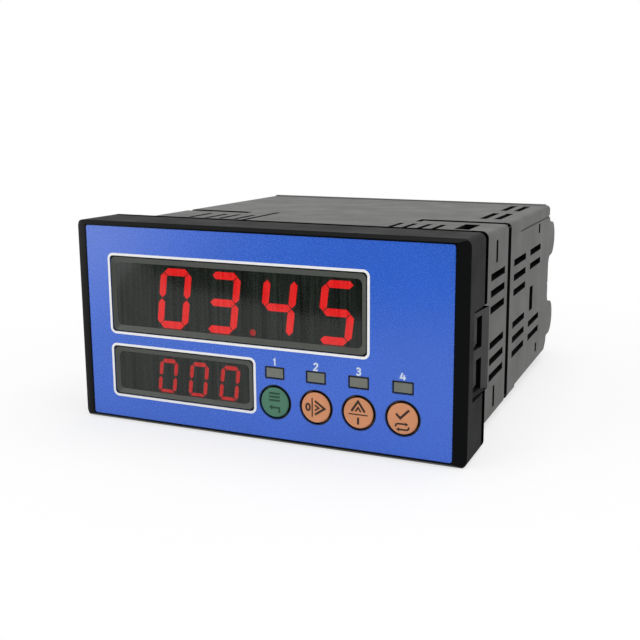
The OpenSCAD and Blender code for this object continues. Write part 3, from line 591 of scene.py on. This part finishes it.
def rounded_piece(name, node, finish, rounding, body=INSTRUMENT, steps=2):
    """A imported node's shape with its sharp edges rounded, standing for the node."""
    piece = link_piece(name, joined_mesh(node), finish, body)
    edges = piece.modifiers.new("Edge rounding", "BEVEL")
    edges.width = rounding
    edges.segments = steps
    edges.limit_method = "ANGLE"
    edges.angle_limit = ROUNDED_ABOVE
    edges.harden_normals = True
    edges.miter_outer = "MITER_ARC"
    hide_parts(node)
    return piece


def second_finish(piece, finish, chosen):
    """Gives a piece's chosen faces a second finish."""
    piece.data.materials.append(finish)
    for face in piece.data.polygons:
        if chosen(face):
            face.material_index = 1


def finish_node(node, finish):
    """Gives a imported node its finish."""
    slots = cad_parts[node].material_slots
    if not slots:
        raise ValueError(f"{node} has no material slot")
    for slot in slots:
        slot.material = finish


# Pieces


class AddsPieces:
    """What the operators share."""

    bl_options = {"REGISTER", "UNDO"}


class INDICATOR_OT_bezel(AddsPieces, Operator):
    """Add the bezel: textured sides and a polished rim round the fascia"""

    bl_idname = "indicator.bezel"
    bl_label = "Bezel"

    def execute(self, context):
        housing = context.scene.indicator.housing
        # Behind the rear edge band the bezel is painted dark, as shade where it meets the case.
        grained = moulded_plastic(
            "bezel textured plastic", housing.bezel_colour, roughness=0.56,
            depth=housing.grain_depth, specular=0.04, shade_y=PANEL_Y - REAR_SHADE_BAND,
        )
        polished = moulded_plastic(
            "bezel rim plastic and latch shade", housing.rim_colour, roughness=0.3, depth=0.004 * MM,
            specular=0.05, spread=0.12,
        )
        piece = rounded_piece(
            "bezel", "bezel_frame", grained, housing.edge_rounding
        )
        # The rim is polished plastic; on the latches the same darker plastic is painted shade.
        second_finish(piece, polished, self.is_polished)
        return {"FINISHED"}

    def is_polished(self, face):
        """Whether a face is on the sloping rim or on a latch; on a latch the rim's darker plastic is
        painted shade.
        """
        place = face.center
        in_rim = place.y < LIP_Y + RIM_DEPTH and face.normal.y < RIM_FACING
        in_latch = place.y > LIP_Y + LATCH_FRONT and abs(place.z - MIDDLE_Z) < LATCH_HALF_HEIGHT
        in_side = abs(place.x) > BEZEL_SIDE_INSIDE and abs(face.normal.z) < LEVEL
        return in_rim or (in_latch and in_side)


class INDICATOR_OT_fascia(AddsPieces, Operator):
    """Add the printed sheet with the windows' outlines and the numerals"""

    bl_idname = "indicator.fascia"
    bl_label = "Printed fascia"

    def execute(self, context):
        fascia = context.scene.indicator.fascia
        finish_node("fascia_overlay", printed_film("printed sheet", fascia.film_colour))
        white = printing_ink("outline ink", fascia.outline_colour)
        for name in ("main_window", "lower_window"):
            self.add_outline(name, white)
        pale = printing_ink("numeral ink", fascia.numeral_colour)
        shape = bmesh.new()
        centres = indicator_centres()
        for number, (x, z) in enumerate(centres, 1):
            add_numeral(
                shape, str(number), x, z + NUMERAL_RISE, fascia.numeral_height, fascia.numeral_stroke,
                FILM_Y - INK_THICKNESS, FILM_Y,
            )
        make_piece("printed_numerals", shape, pale)
        return {"FINISHED"}

    def add_outline(self, window, ink):
        x, z, width, height = window_face(window)
        grow = 2 * (LENS_GAP + OUTLINE_WIDTH)
        outer = rounded_outline(width + grow, height + grow, OUTLINE_RADIUS, x, z)
        inner = rounded_outline(
            width + 2 * LENS_GAP, height + 2 * LENS_GAP, OUTLINE_RADIUS - OUTLINE_WIDTH, x, z
        )
        shape = bmesh.new()
        front = FILM_Y - INK_THICKNESS
        add_band(shape, outer, inner, front, front, FILM_Y + INK_BACK)
        make_piece(f"{window}_outline", shape, ink)


def window_face(window):
    """Middle, width and height of a window's face, without its hidden flange."""
    low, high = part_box(f"{window}_lens")
    return (
        (low.x + high.x) / 2,
        (low.z + high.z) / 2,
        high.x - low.x - 2 * LENS_FLANGE,
        high.z - low.z - 2 * LENS_FLANGE,
    )


def indicator_centres():
    """Middles of the four small windows, each above its key."""
    low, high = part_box("indicator_lenses")
    z = (low.z + high.z) / 2
    return [(key_centre(key)[0], z) for key in KEY_BODIES]


def key_centre(key):
    """Middle of a key's face."""
    low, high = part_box(key)
    return (low.x + high.x) / 2, (low.z + high.z) / 2


NOUGHT = [
    (0.31 * math.sin(step * math.pi / 8), 0.5 + 0.5 * math.cos(step * math.pi / 8))
    for step in range(16)
]

# Each numeral's strokes, as shares of its height. Only the nought closes on itself.
NUMERAL_STROKES = {
    "0": [NOUGHT],
    "1": [[(-0.17, 0.76), (0.06, 1.0), (0.06, 0.0)]],
    "2": [
        [
            (-0.28, 0.74), (-0.22, 0.9), (-0.02, 1.0), (0.2, 0.93), (0.28, 0.75), (0.2, 0.54),
            (-0.3, 0.0), (0.32, 0.0),
        ]
    ],
    "3": [
        [
            (-0.27, 0.82), (-0.18, 0.95), (0.0, 1.0), (0.2, 0.93), (0.26, 0.77), (0.18, 0.6),
            (-0.04, 0.54), (0.2, 0.46), (0.29, 0.26), (0.2, 0.07), (0.0, 0.0), (-0.2, 0.05),
            (-0.29, 0.2),
        ]
    ],
    "4": [[(-0.08, 1.0), (-0.36, 0.3), (0.4, 0.3)], [(0.17, 0.72), (0.17, 0.0)]],
}


def add_numeral(shape, figure, x, z, height, stroke, front_y, back_y):
    """A printed numeral, with its middle at x and z."""
    reach = height - stroke
    for layer, line in enumerate(NUMERAL_STROKES[figure]):
        points = [(x + px * reach, z + (pz - 0.5) * reach) for px, pz in line]
        rise = layer * INK_LAYER
        add_stroke(shape, points, stroke, front_y - rise, back_y + rise, line is NOUGHT)


def add_stroke(shape, points, width, front_y, back_y, closed=False):
    """A printed or raised stroke along some points."""
    left, right = stroke_sides(points, width, closed)
    add_band(shape, left, right, front_y, front_y, back_y, closed)


class INDICATOR_OT_windows(AddsPieces, Operator):
    """Add the smoked windows with their bevelled edges"""

    bl_idname = "indicator.windows"
    bl_label = "Smoked windows"

    def execute(self, context):
        settings = context.scene.indicator.windows
        frosted = bevel_band("window bevel", settings.band_colour)
        smoked = smoked_pane("smoked pane", settings.smoke_colour, settings.smoke)
        clear = smoked_pane("clear pane edge", settings.smoke_colour, CLEAR_SHARE)
        for window in ("main_window", "lower_window"):
            self.add_window(window, frosted, smoked, clear)
        return {"FINISHED"}

    def add_window(self, window, frosted, smoked, clear):
        x, z, width, height = window_face(window)
        radius = OUTLINE_RADIUS - LENS_GAP
        outer = rounded_outline(
            width + 2 * BEVEL_REACH, height + 2 * BEVEL_REACH, radius + BEVEL_REACH / 2, x, z
        )
        end = BEVEL_ENDS[window]
        inner = rounded_outline(
            width - 2 * BEVEL_SIDE, height - 2 * end, radius * BEVEL_CORNER_SHARE, x, z
        )
        pane_y = FILM_Y + BEVEL_DEPTH
        back = pane_y + PANE_THICKNESS
        shape = bmesh.new()
        add_band(shape, outer, inner, FILM_Y, pane_y, back + PANE_LAP)
        band = make_piece(f"{window}_bevel", shape, frosted, smooth_below=20)
        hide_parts(f"{window}_lens")
        shape = bmesh.new()
        lapped = rounded_outline(
            width - 2 * (BEVEL_SIDE - PANE_LAP), height - 2 * (end - PANE_LAP), radius, x, z
        )
        add_patch(shape, lapped, pane_y + PANE_CLEARANCE, back)
        pane = make_piece(f"{window}_pane", shape, smoked)
        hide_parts(f"{window}_lens")
        second_finish(pane, clear, lambda face: face.normal.y > PANE_FACING)


class INDICATOR_OT_readouts(AddsPieces, Operator):
    """Light the readouts and finish the lamps behind the small windows"""

    bl_idname = "indicator.readouts"
    bl_label = "Readouts"

    def execute(self, context):
        settings = context.scene.indicator.windows
        face = readout_face("readout face", srgb(24, 25, 25))
        lit_colour = settings.lit_colour
        lit = {
            "main": lit_stroke("lit strokes", lit_colour, settings.lit_strength),
            "lower": lit_stroke(
                "lower lit strokes", lit_colour, settings.lit_strength * LOWER_LIT_SHARE
            ),
        }
        dark = moulded_plastic("unlit strokes", srgb(30, 24, 24), depth=0.01 * MM, specular=0.2)
        for readout in ("main", "lower"):
            finish_node(f"{readout}_display_housing", face)
            finish_node(f"{readout}_segments_dark", dark)
            strokes = rounded_piece(
                f"{readout}_lit_strokes", f"{readout}_segments_lit", lit[readout],
                STROKE_ROUNDING, steps=3,
            )
            if readout == "main":
                point = lit_stroke("lit point", lit_colour, settings.lit_strength * POINT_LIT_SHARE)
                second_finish(
                    strokes, point, lambda face: abs(face.center.x - POINT_X) < POINT_REACH
                )
        lens = moulded_plastic(
            "indicator window", settings.indicator_colour, roughness=0.3, depth=0.006 * MM,
            specular=0.5, spread=0.12, grain=0.4 * MM,
        )
        rounded_piece(
            "indicator_windows", "indicator_lenses", lens, SMALL_ROUNDING
        )
        lamp = moulded_plastic(
            "lamp epoxy", srgb(214, 206, 196), roughness=0.15, depth=0.004 * MM, specular=0.5
        )
        finish_node("indicator_leds", lamp)
        return {"FINISHED"}


class INDICATOR_OT_keys(AddsPieces, Operator):
    """Add the four round keys with their printed marks"""

    bl_idname = "indicator.keys"
    bl_label = "Keys"

    def execute(self, context):
        keys = context.scene.indicator.keys
        green = self.finishes("green key", keys.green, keys.green_mark, 0.1, 0.08)
        orange = self.finishes("orange key", keys.orange, keys.orange_mark, 0.08, 0.05)
        self.add_surrounds()
        for key, body in KEY_BODIES.items():
            slot = "key_green" if key == "key_set" else "key_orange"
            face, side, ink = green if key == "key_set" else orange
            self.add_key(key, body, face, side, slot)
            self.add_marks(key, body, ink, keys.mark_stroke, slot)
        return {"FINISHED"}

    def finishes(self, name, colour, ink_colour, spread, side_shade_tone):
        """A key's face, its side walls darkened with painted shade, and its ink."""
        face = moulded_plastic(
            name, colour, roughness=0.42, depth=KEY_GRAIN, specular=0.4, spread=spread
        )
        side = moulded_plastic(
            f"{name} side", tone(colour, side_shade_tone), depth=KEY_GRAIN, specular=0.05
        )
        return face, side, printing_ink(f"{name} ink", ink_colour)

    def add_key(self, key, body, face, side, slot):
        piece = rounded_piece(f"{key}_cap", key, face, SMALL_ROUNDING, body)
        face_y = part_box(key)[0].y
        for vert in piece.data.vertices:
            if vert.co.y < face_y + KEY_DISH / 2:
                vert.co.y += KEY_DISH
        # The side walls get a far darker tone of the key's plastic: painted shade.
        second_finish(piece, side, lambda face: face.normal.y > KEY_FACING)

    def add_surrounds(self):
        """Dark rims round the keys' holes, painted shade of the gap round each key, and round the small
        windows.
        """
        shape = bmesh.new()
        front, back = FILM_Y - INK_THICKNESS, FILM_Y + INK_BACK
        # Painted shade: a dark ring round each key's hole widens the gap's shadow.
        for key in KEY_BODIES:
            x, z = key_centre(key)
            radius = KEY_FACE_RADIUS + KEY_GAP
            outer = round_outline(radius + RIM_WIDTH, x, z)
            add_band(shape, outer, round_outline(radius, x, z), front, front, back)
        for x, z in indicator_centres():
            outer = rounded_outline(
                INDICATOR_WIDTH + 2 * RIM_WIDTH, INDICATOR_HEIGHT + 2 * RIM_WIDTH, RIM_WIDTH, x, z
            )
            inner = rounded_outline(INDICATOR_WIDTH, INDICATOR_HEIGHT, RIM_WIDTH / 4, x, z)
            add_band(shape, outer, inner, front, front, back)
        ink = printing_ink("key gap shade and window rim", srgb(14, 15, 18))
        make_piece("key_gap_shade_and_window_rims", shape, ink)

    def add_marks(self, key, body, ink, stroke, slot):
        x, z = key_centre(key)
        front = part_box(key)[0].y
        shape = bmesh.new()
        MARKS[key](shape, x, z, stroke, front, front + 2 * KEY_DISH)
        make_piece(f"{key}_marks", shape, ink, body)


# The keys' marks. Points are in millimetres from the middle of a key, and a width is a share of
# the marks' stroke.


def moved(points, x, z):
    """Points in millimetres, set round a centre in metres."""
    return [(x + px * MM, z + pz * MM) for px, pz in points]


def add_chevron(shape, x, z, stroke, front, back, turn):
    """A triangle with a second one nested in it, pointing up, or right when turned."""

    def turned(points):
        return moved([(pz, -px) if turn else (px, pz) for px, pz in points], x, z)

    tall = [(-1.55, -1.1), (0.0, 1.2), (1.55, -1.1)]
    nested = [(-0.62, -1.1), (0.0, -0.2), (0.62, -1.1)]
    add_stroke(shape, turned(tall), stroke * 1.15, front, back)
    add_stroke(shape, turned(nested), stroke * 0.9, front, back)


def marks_set(shape, x, z, stroke, front, back):
    """Three bars over a returning arrow."""
    for rise in (2.1, 1.3, 0.5):
        add_stroke(shape, moved([(-1.35, rise), (1.35, rise)], x, z), stroke, front, back)
    arrow = [(1.15, -2.3), (1.15, -1.15), (-0.6, -1.15)]
    add_stroke(shape, moved(arrow, x, z), stroke, front, back)
    head = [(-0.6, -0.55), (-1.4, -1.15), (-0.6, -1.75)]
    add_patch(shape, moved(head, x, z), front, back)


def marks_shift(shape, x, z, stroke, front, back):
    """A nought and a nested triangle on each side of an upright line."""
    add_numeral(shape, "0", x - 1.8 * MM, z, KEY_NOUGHT_HEIGHT, stroke, front, back)
    add_stroke(shape, moved([(-0.8, 2.15), (-0.8, -2.15)], x, z), stroke * 0.7, front, back)
    add_chevron(shape, x + 0.95 * MM, z, stroke, front, back, True)


def marks_up(shape, x, z, stroke, front, back):
    """A nested triangle over a line, with a small upright bar under it."""
    add_chevron(shape, x, z + 1.45 * MM, stroke, front, back, False)
    add_stroke(shape, moved([(-2.2, -0.3), (2.2, -0.3)], x, z), stroke * 0.6, front, back)
    add_stroke(shape, moved([(0.0, -0.95), (0.0, -2.5)], x, z), stroke * 1.15, front, back)


def marks_enter(shape, x, z, stroke, front, back):
    """A tick over two arrows that chase each other round a loop."""
    tick = [(-1.4, 1.05), (-0.45, 0.1), (1.5, 2.05)]
    add_stroke(shape, moved(tick, x, z), stroke * 1.2, front, back)
    for side in (1, -1):
        half = [(0.7, 0.62), (-0.95, 0.62), (-1.3, 0.5), (-1.45, 0.2), (-1.45, -0.1)]
        turned = [(side * px, side * pz - 1.72) for px, pz in half]
        add_stroke(shape, moved(turned, x, z), stroke * 0.9, front, back)
        head = [(0.7, 1.05), (1.35, 0.62), (0.7, 0.15)]
        turned = [(side * px, side * pz - 1.72) for px, pz in head]
        add_patch(shape, moved(turned, x, z), front, back)


MARKS = {
    "key_set": marks_set,
    "key_shift": marks_shift,
    "key_up": marks_up,
    "key_enter": marks_enter,
}


class INDICATOR_OT_case(AddsPieces, Operator):
    """Add the moulded case with its vents, slots and scalloped cheeks"""

    bl_idname = "indicator.case"
    bl_label = "Case"

    def execute(self, context):
        housing = context.scene.indicator.housing
        grey = moulded_plastic(
            "case plastic", housing.case_colour, depth=housing.grain_depth, specular=0.2,
            spread=0.06,
        )
        # The walls inside the slots, vents and grooves get a dark plastic as painted shade.
        inner = moulded_plastic(
            "case inside painted shade", housing.inner_colour, roughness=0.7,
            depth=housing.grain_depth, specular=0.05, spread=0.06,
        )
        piece = rounded_piece("case", "case_shell", grey, housing.edge_rounding)
        second_finish(piece, inner, self.is_inside)
        return {"FINISHED"}

    def is_inside(self, face):
        """Whether a face is on the case's inner walls, which get painted shade."""
        place = face.center
        depth = min(CASE_HALF_WIDTH - abs(place.x), CASE_HALF_HEIGHT - abs(place.z - MIDDLE_Z))
        return depth > INSIDE_SHADE_DEPTH and PANEL_Y < place.y < INSIDE_SHADE_END


class INDICATOR_OT_terminals(AddsPieces, Operator):
    """Add the two terminal rows with their screws, clamp plates and tags"""

    bl_idname = "indicator.terminals"
    bl_label = "Terminals"

    def execute(self, context):
        housing = context.scene.indicator.housing
        black = moulded_plastic(
            "terminal plastic", housing.terminal_colour, roughness=0.45,
            depth=housing.grain_depth,
        )
        steel = cut_metal("plated screw", srgb(196, 194, 186), 0.28, (0.1, 1, 1))
        brass = cut_metal("terminal brass", srgb(206, 176, 108), 0.34)
        for row in ("upper", "lower"):
            rounded_piece(
                f"{row}_terminals", f"{row}_terminal_block", black,
                housing.edge_rounding,
            )
            finish_node(f"{row}_terminal_screws", steel)
            finish_node(f"{row}_clamp_plates", steel)
            finish_node(f"{row}_terminal_tags", brass)
        return {"FINISHED"}


class INDICATOR_OT_inside(AddsPieces, Operator):
    """Finish the boards and the parts on them"""

    bl_idname = "indicator.inside"
    bl_label = "Inner boards"

    def execute(self, context):
        mask = circuit_mask("board mask", srgb(28, 92, 62))
        cream = moulded_plastic("connector nylon", srgb(222, 212, 186), 0.45)
        black = moulded_plastic("switch plastic", srgb(34, 34, 36), 0.5)
        laminations = layered("core laminations", srgb(120, 122, 126), 0.5 * MM, "Z", 0.8)
        tape = layered("coil tape", srgb(206, 172, 70), 1.2 * MM, "Y")
        sleeve = layered("capacitor sleeve", srgb(38, 44, 66), 6 * MM, "X")
        finishes = {
            mask: ("display_board", "power_board", "signal_board"),
            cream: (
                "lower_board_socket", "upper_board_socket", "lower_board_header", "upper_board_header",
            ),
            black: (
                "switch_bodies", "plunger_set", "plunger_shift", "plunger_up", "plunger_enter",
                "signal_chips",
            ),
            cut_metal("board screw steel", srgb(190, 190, 188)): ("display_board_screws",),
            laminations: ("transformer_core",),
            tape: ("transformer_coil",),
            moulded_plastic("relay cover", srgb(44, 84, 148), 0.4): ("output_relays",),
            sleeve: ("smoothing_capacitors",),
        }
        for finish, nodes in finishes.items():
            for node in nodes:
                finish_node(node, finish)
        return {"FINISHED"}


# Stage

# The camera's place, its turn, rise and roll in degrees, its lens and sensor in millimetres, its
# shift, and the nearest and farthest it sees.
CAMERA_PLACE = (0.0941, -0.22495, 0.0710)
CAMERA_ANGLES = (21.84, 10.18, 0.10)
CAMERA_LENS = 50.856
CAMERA_SENSOR = 36
CAMERA_SHIFT = (-0.068, -0.0577)
CAMERA_RANGE = (0.01, 20)

# The floor: half its width, and how much of what the camera sees of it is its own glow.
FLOOR_HALF = 4.0
FLOOR_GLOW = 1.04
FLOOR_GLOW_SHARE = 0.65

# The dark card on the floor, in millimetres, which the smoked windows mirror.
DARK_CARD = [
    (-183, -262), (-143, -222), (-115, -200), (-105, -200), (-75, -187), (-49, -174), (-36, -172),
    (0, -182), (40, -215), (60, -300), (60, -520), (-200, -620), (-330, -520), (-258, -427),
    (-203, -300),
]
DARK_CARD_Z = 1 * MM

# A bright card beside the dark one, for the sheen on the fascia's left end.
BRIGHT_CARD = [
    (-100, -115), (-183, -262), (-258, -427), (-330, -520), (-420, -640), (-900, -640), (-900, -115),
]
BRIGHT_CARD_Z = 0.5 * MM
BRIGHT_HEADING = (-0.6, -0.8, 0)
BRIGHT_NEAR = 150 * MM
BRIGHT_FAR = 430 * MM
BRIGHT_STRENGTH = 2.9

# Bottom corners and height of the dark card that stands behind the one on the floor.
STANDING_CARD = [(-380, -720), (80, -720)]
STANDING_HEIGHT = 260


class INDICATOR_OT_stage(AddsPieces, Operator):
    """Add the floor, the lamps, the background and the camera"""

    bl_idname = "indicator.stage"
    bl_label = "Stage"

    def execute(self, context):
        stage = context.scene.indicator.stage
        self.add_floor(stage.floor_colour)
        self.add_dark_cards()
        self.add_bright_card()
        self.set_background(context.scene, stage.fill_strength)
        self.add_lamp("top lamp", (0.15, 0.1, 1.0), stage.top_strength, spread=60)
        self.add_lamp("front lamp", (-0.9, -1.0, 0.3), stage.front_strength, spread=50)
        self.add_lamp("side lamp", (1.0, 0.1, 0.4), stage.side_strength, spread=50)
        self.add_camera(context.scene)
        context.scene.view_settings.view_transform = "Standard"
        return {"FINISHED"}

    def add_sheet(self, name, corners, material):
        mesh = bpy.data.meshes.new(name)
        mesh.from_pydata(corners, [], [range(len(corners))])
        mesh.materials.append(material)
        sheet = bpy.data.objects.new(name, mesh)
        bpy.context.scene.collection.objects.link(sheet)
        return sheet

    def add_floor(self, colour):
        finish = Finish("floor", 0.9, 0.0)
        paper = finish.noise(grain=8 * MM)
        finish.wire(finish.shade(paper, colour, 0.995, 1), "Base Color")
        glow = finish.add("Emission", Strength=FLOOR_GLOW)
        part = finish.add("Math")
        part.operation = "MULTIPLY"
        part.inputs[1].default_value = FLOOR_GLOW_SHARE
        finish.links.new(seen_by_camera_or_mirror(finish.nodes, finish.links), part.inputs[0])
        mix_shaders(
            finish.nodes, finish.links, part.outputs["Value"], finish.shader.outputs["BSDF"],
            glow.outputs["Emission"], finish.nodes["Material Output"],
        )
        corners = [
            (side * FLOOR_HALF, end * FLOOR_HALF, 0)
            for side, end in ((-1, -1), (1, -1), (1, 1), (-1, 1))
        ]
        self.add_sheet("floor", corners, finish.material)

    def add_dark_cards(self):
        """Dark cards that only the glossy pieces mirror."""
        finish = Finish("dark card", 0.9, 0.0)
        velvet = finish.noise(grain=1 * MM)
        finish.wire(finish.blend(velvet, (0.002, 0.002, 0.002), (0.006, 0.006, 0.006)), "Base Color")
        lying = [(x * MM, y * MM, DARK_CARD_Z) for x, y in DARK_CARD]
        foot = [(x * MM, y * MM, DARK_CARD_Z) for x, y in STANDING_CARD]
        standing = foot + [(x, y, STANDING_HEIGHT * MM) for x, y, _ in reversed(foot)]
        for name, corners in (("lying card", lying), ("standing card", standing)):
            only_mirrored(self.add_sheet(name, corners, finish.material))

    def add_bright_card(self):
        """A card whose light grows towards its far left corner."""
        finish = Finish("bright card", 0.9, 0.0)
        finish.set(Base_Color=(0, 0, 0), Emission_Color=(1, 1, 1))
        away = finish.add("VectorMath")
        away.operation = "DOT_PRODUCT"
        away.inputs[1].default_value = BRIGHT_HEADING
        finish.links.new(finish.place, away.inputs[0])
        glow = finish.spread(away.outputs["Value"], 1.0, BRIGHT_STRENGTH, (BRIGHT_NEAR, BRIGHT_FAR))
        finish.wire(glow, "Emission Strength")
        corners = [(x * MM, y * MM, BRIGHT_CARD_Z) for x, y in BRIGHT_CARD]
        only_mirrored(self.add_sheet("bright card", corners, finish.material))

    def set_background(self, scene, fill):
        world = bpy.data.worlds.new("studio")
        world.use_nodes = True
        scene.world = world
        nodes, links = world.node_tree.nodes, world.node_tree.links
        plain = nodes["Background"]
        plain.inputs["Color"].default_value = (1, 1, 1, 1)
        plain.inputs["Strength"].default_value = fill
        white = nodes.new("ShaderNodeBackground")
        white.inputs["Color"].default_value = (1, 1, 1, 1)
        mix_shaders(
            nodes, links, seen_by_camera_or_mirror(nodes, links), plain.outputs["Background"],
            white.outputs["Background"], nodes["World Output"],
        )

    def add_lamp(self, name, place, strength, spread):
        light = bpy.data.lights.new(name, "SUN")
        light.energy = strength
        light.angle = math.radians(spread)
        lamp = bpy.data.objects.new(name, light)
        lamp.location = place
        lamp.rotation_mode = "QUATERNION"
        lamp.rotation_quaternion = (-Vector(place)).to_track_quat("-Z", "Y")
        bpy.context.scene.collection.objects.link(lamp)

    def add_camera(self, scene):
        turn, rise, roll = (math.radians(angle) for angle in CAMERA_ANGLES)
        back = Vector(
            (math.sin(turn) * math.cos(rise), -math.cos(turn) * math.cos(rise), math.sin(rise))
        )
        right = Vector((math.cos(turn), math.sin(turn), 0))
        up = back.cross(right)
        across = right * math.cos(roll) + up * math.sin(roll)
        upward = up * math.cos(roll) - right * math.sin(roll)
        data = bpy.data.cameras.new("camera")
        data.sensor_width = CAMERA_SENSOR
        data.lens = CAMERA_LENS
        data.shift_x, data.shift_y = CAMERA_SHIFT
        data.clip_start, data.clip_end = CAMERA_RANGE
        camera = bpy.data.objects.new("camera", data)
        camera.matrix_world = Matrix.Translation(CAMERA_PLACE) @ Matrix(
            (across, upward, back)
        ).transposed().to_4x4()
        scene.collection.objects.link(camera)
        scene.camera = camera


def only_mirrored(card):
    """Hides a card from everything but mirroring surfaces."""
    card.visible_camera = False
    card.visible_diffuse = False
    card.visible_shadow = False
    card.visible_transmission = False


def mix_shaders(nodes, links, share, first, second, output):
    """Sends two shaders, mixed by that share, to an output."""
    mix = nodes.new("ShaderNodeMixShader")
    links.new(share, mix.inputs["Fac"])
    links.new(first, mix.inputs[1])
    links.new(second, mix.inputs[2])
    links.new(mix.outputs["Shader"], output.inputs["Surface"])


def seen_by_camera_or_mirror(nodes, links):
    """1 for a ray from the camera, or one that a gloss or a clear piece sends on."""
    path = nodes.new("ShaderNodeLightPath")
    total = path.outputs["Is Camera Ray"]
    for ray in ("Is Glossy Ray", "Is Transmission Ray"):
        either = nodes.new("ShaderNodeMath")
        either.operation = "MAXIMUM"
        links.new(total, either.inputs[0])
        links.new(path.outputs[ray], either.inputs[1])
        total = either.outputs["Value"]
    return total


class INDICATOR_PT_panel(Panel):
    """Sizes, colours and pieces of the weighing indicator"""

    bl_label = "Weighing indicator"
    bl_idname = "INDICATOR_PT_panel"
    bl_space_type = "VIEW_3D"
    bl_region_type = "UI"
    bl_category = "Indicator"

    def draw(self, context):
        settings = context.scene.indicator
        for group, operators in PANEL_GROUPS:
            box = self.layout.box()
            chosen = getattr(settings, group)
            for name in chosen.bl_rna.properties.keys():
                if name not in ("rna_type", "name"):
                    box.prop(chosen, name)
            for operator in operators:
                box.operator(operator.bl_idname)


PANEL_GROUPS = [
    ("housing", (INDICATOR_OT_bezel, INDICATOR_OT_case, INDICATOR_OT_terminals, INDICATOR_OT_inside)),
    ("fascia", (INDICATOR_OT_fascia,)),
    ("windows", (INDICATOR_OT_windows, INDICATOR_OT_readouts)),
    ("keys", (INDICATOR_OT_keys,)),
    ("stage", (INDICATOR_OT_stage,)),
]

CLASSES = [
    HousingSettings,
    FasciaSettings,
    WindowSettings,
    KeySettings,
    StageSettings,
    IndicatorSettings,
    *(operator for _, operators in PANEL_GROUPS for operator in operators),
    INDICATOR_PT_panel,
]


def register():
    for cls in CLASSES:
        bpy.utils.register_class(cls)
    bpy.types.Scene.indicator = PointerProperty(type=IndicatorSettings)


def unregister():
    del bpy.types.Scene.indicator
    for cls in reversed(CLASSES):
        bpy.utils.unregister_class(cls)


def main():
    register()
    bpy.ops.indicator.bezel()
    bpy.ops.indicator.fascia()
    bpy.ops.indicator.windows()
    bpy.ops.indicator.readouts()
    bpy.ops.indicator.keys()
    bpy.ops.indicator.case()
    bpy.ops.indicator.terminals()
    bpy.ops.indicator.inside()
    bpy.ops.indicator.stage()


if __name__ == "__main__":
    main()
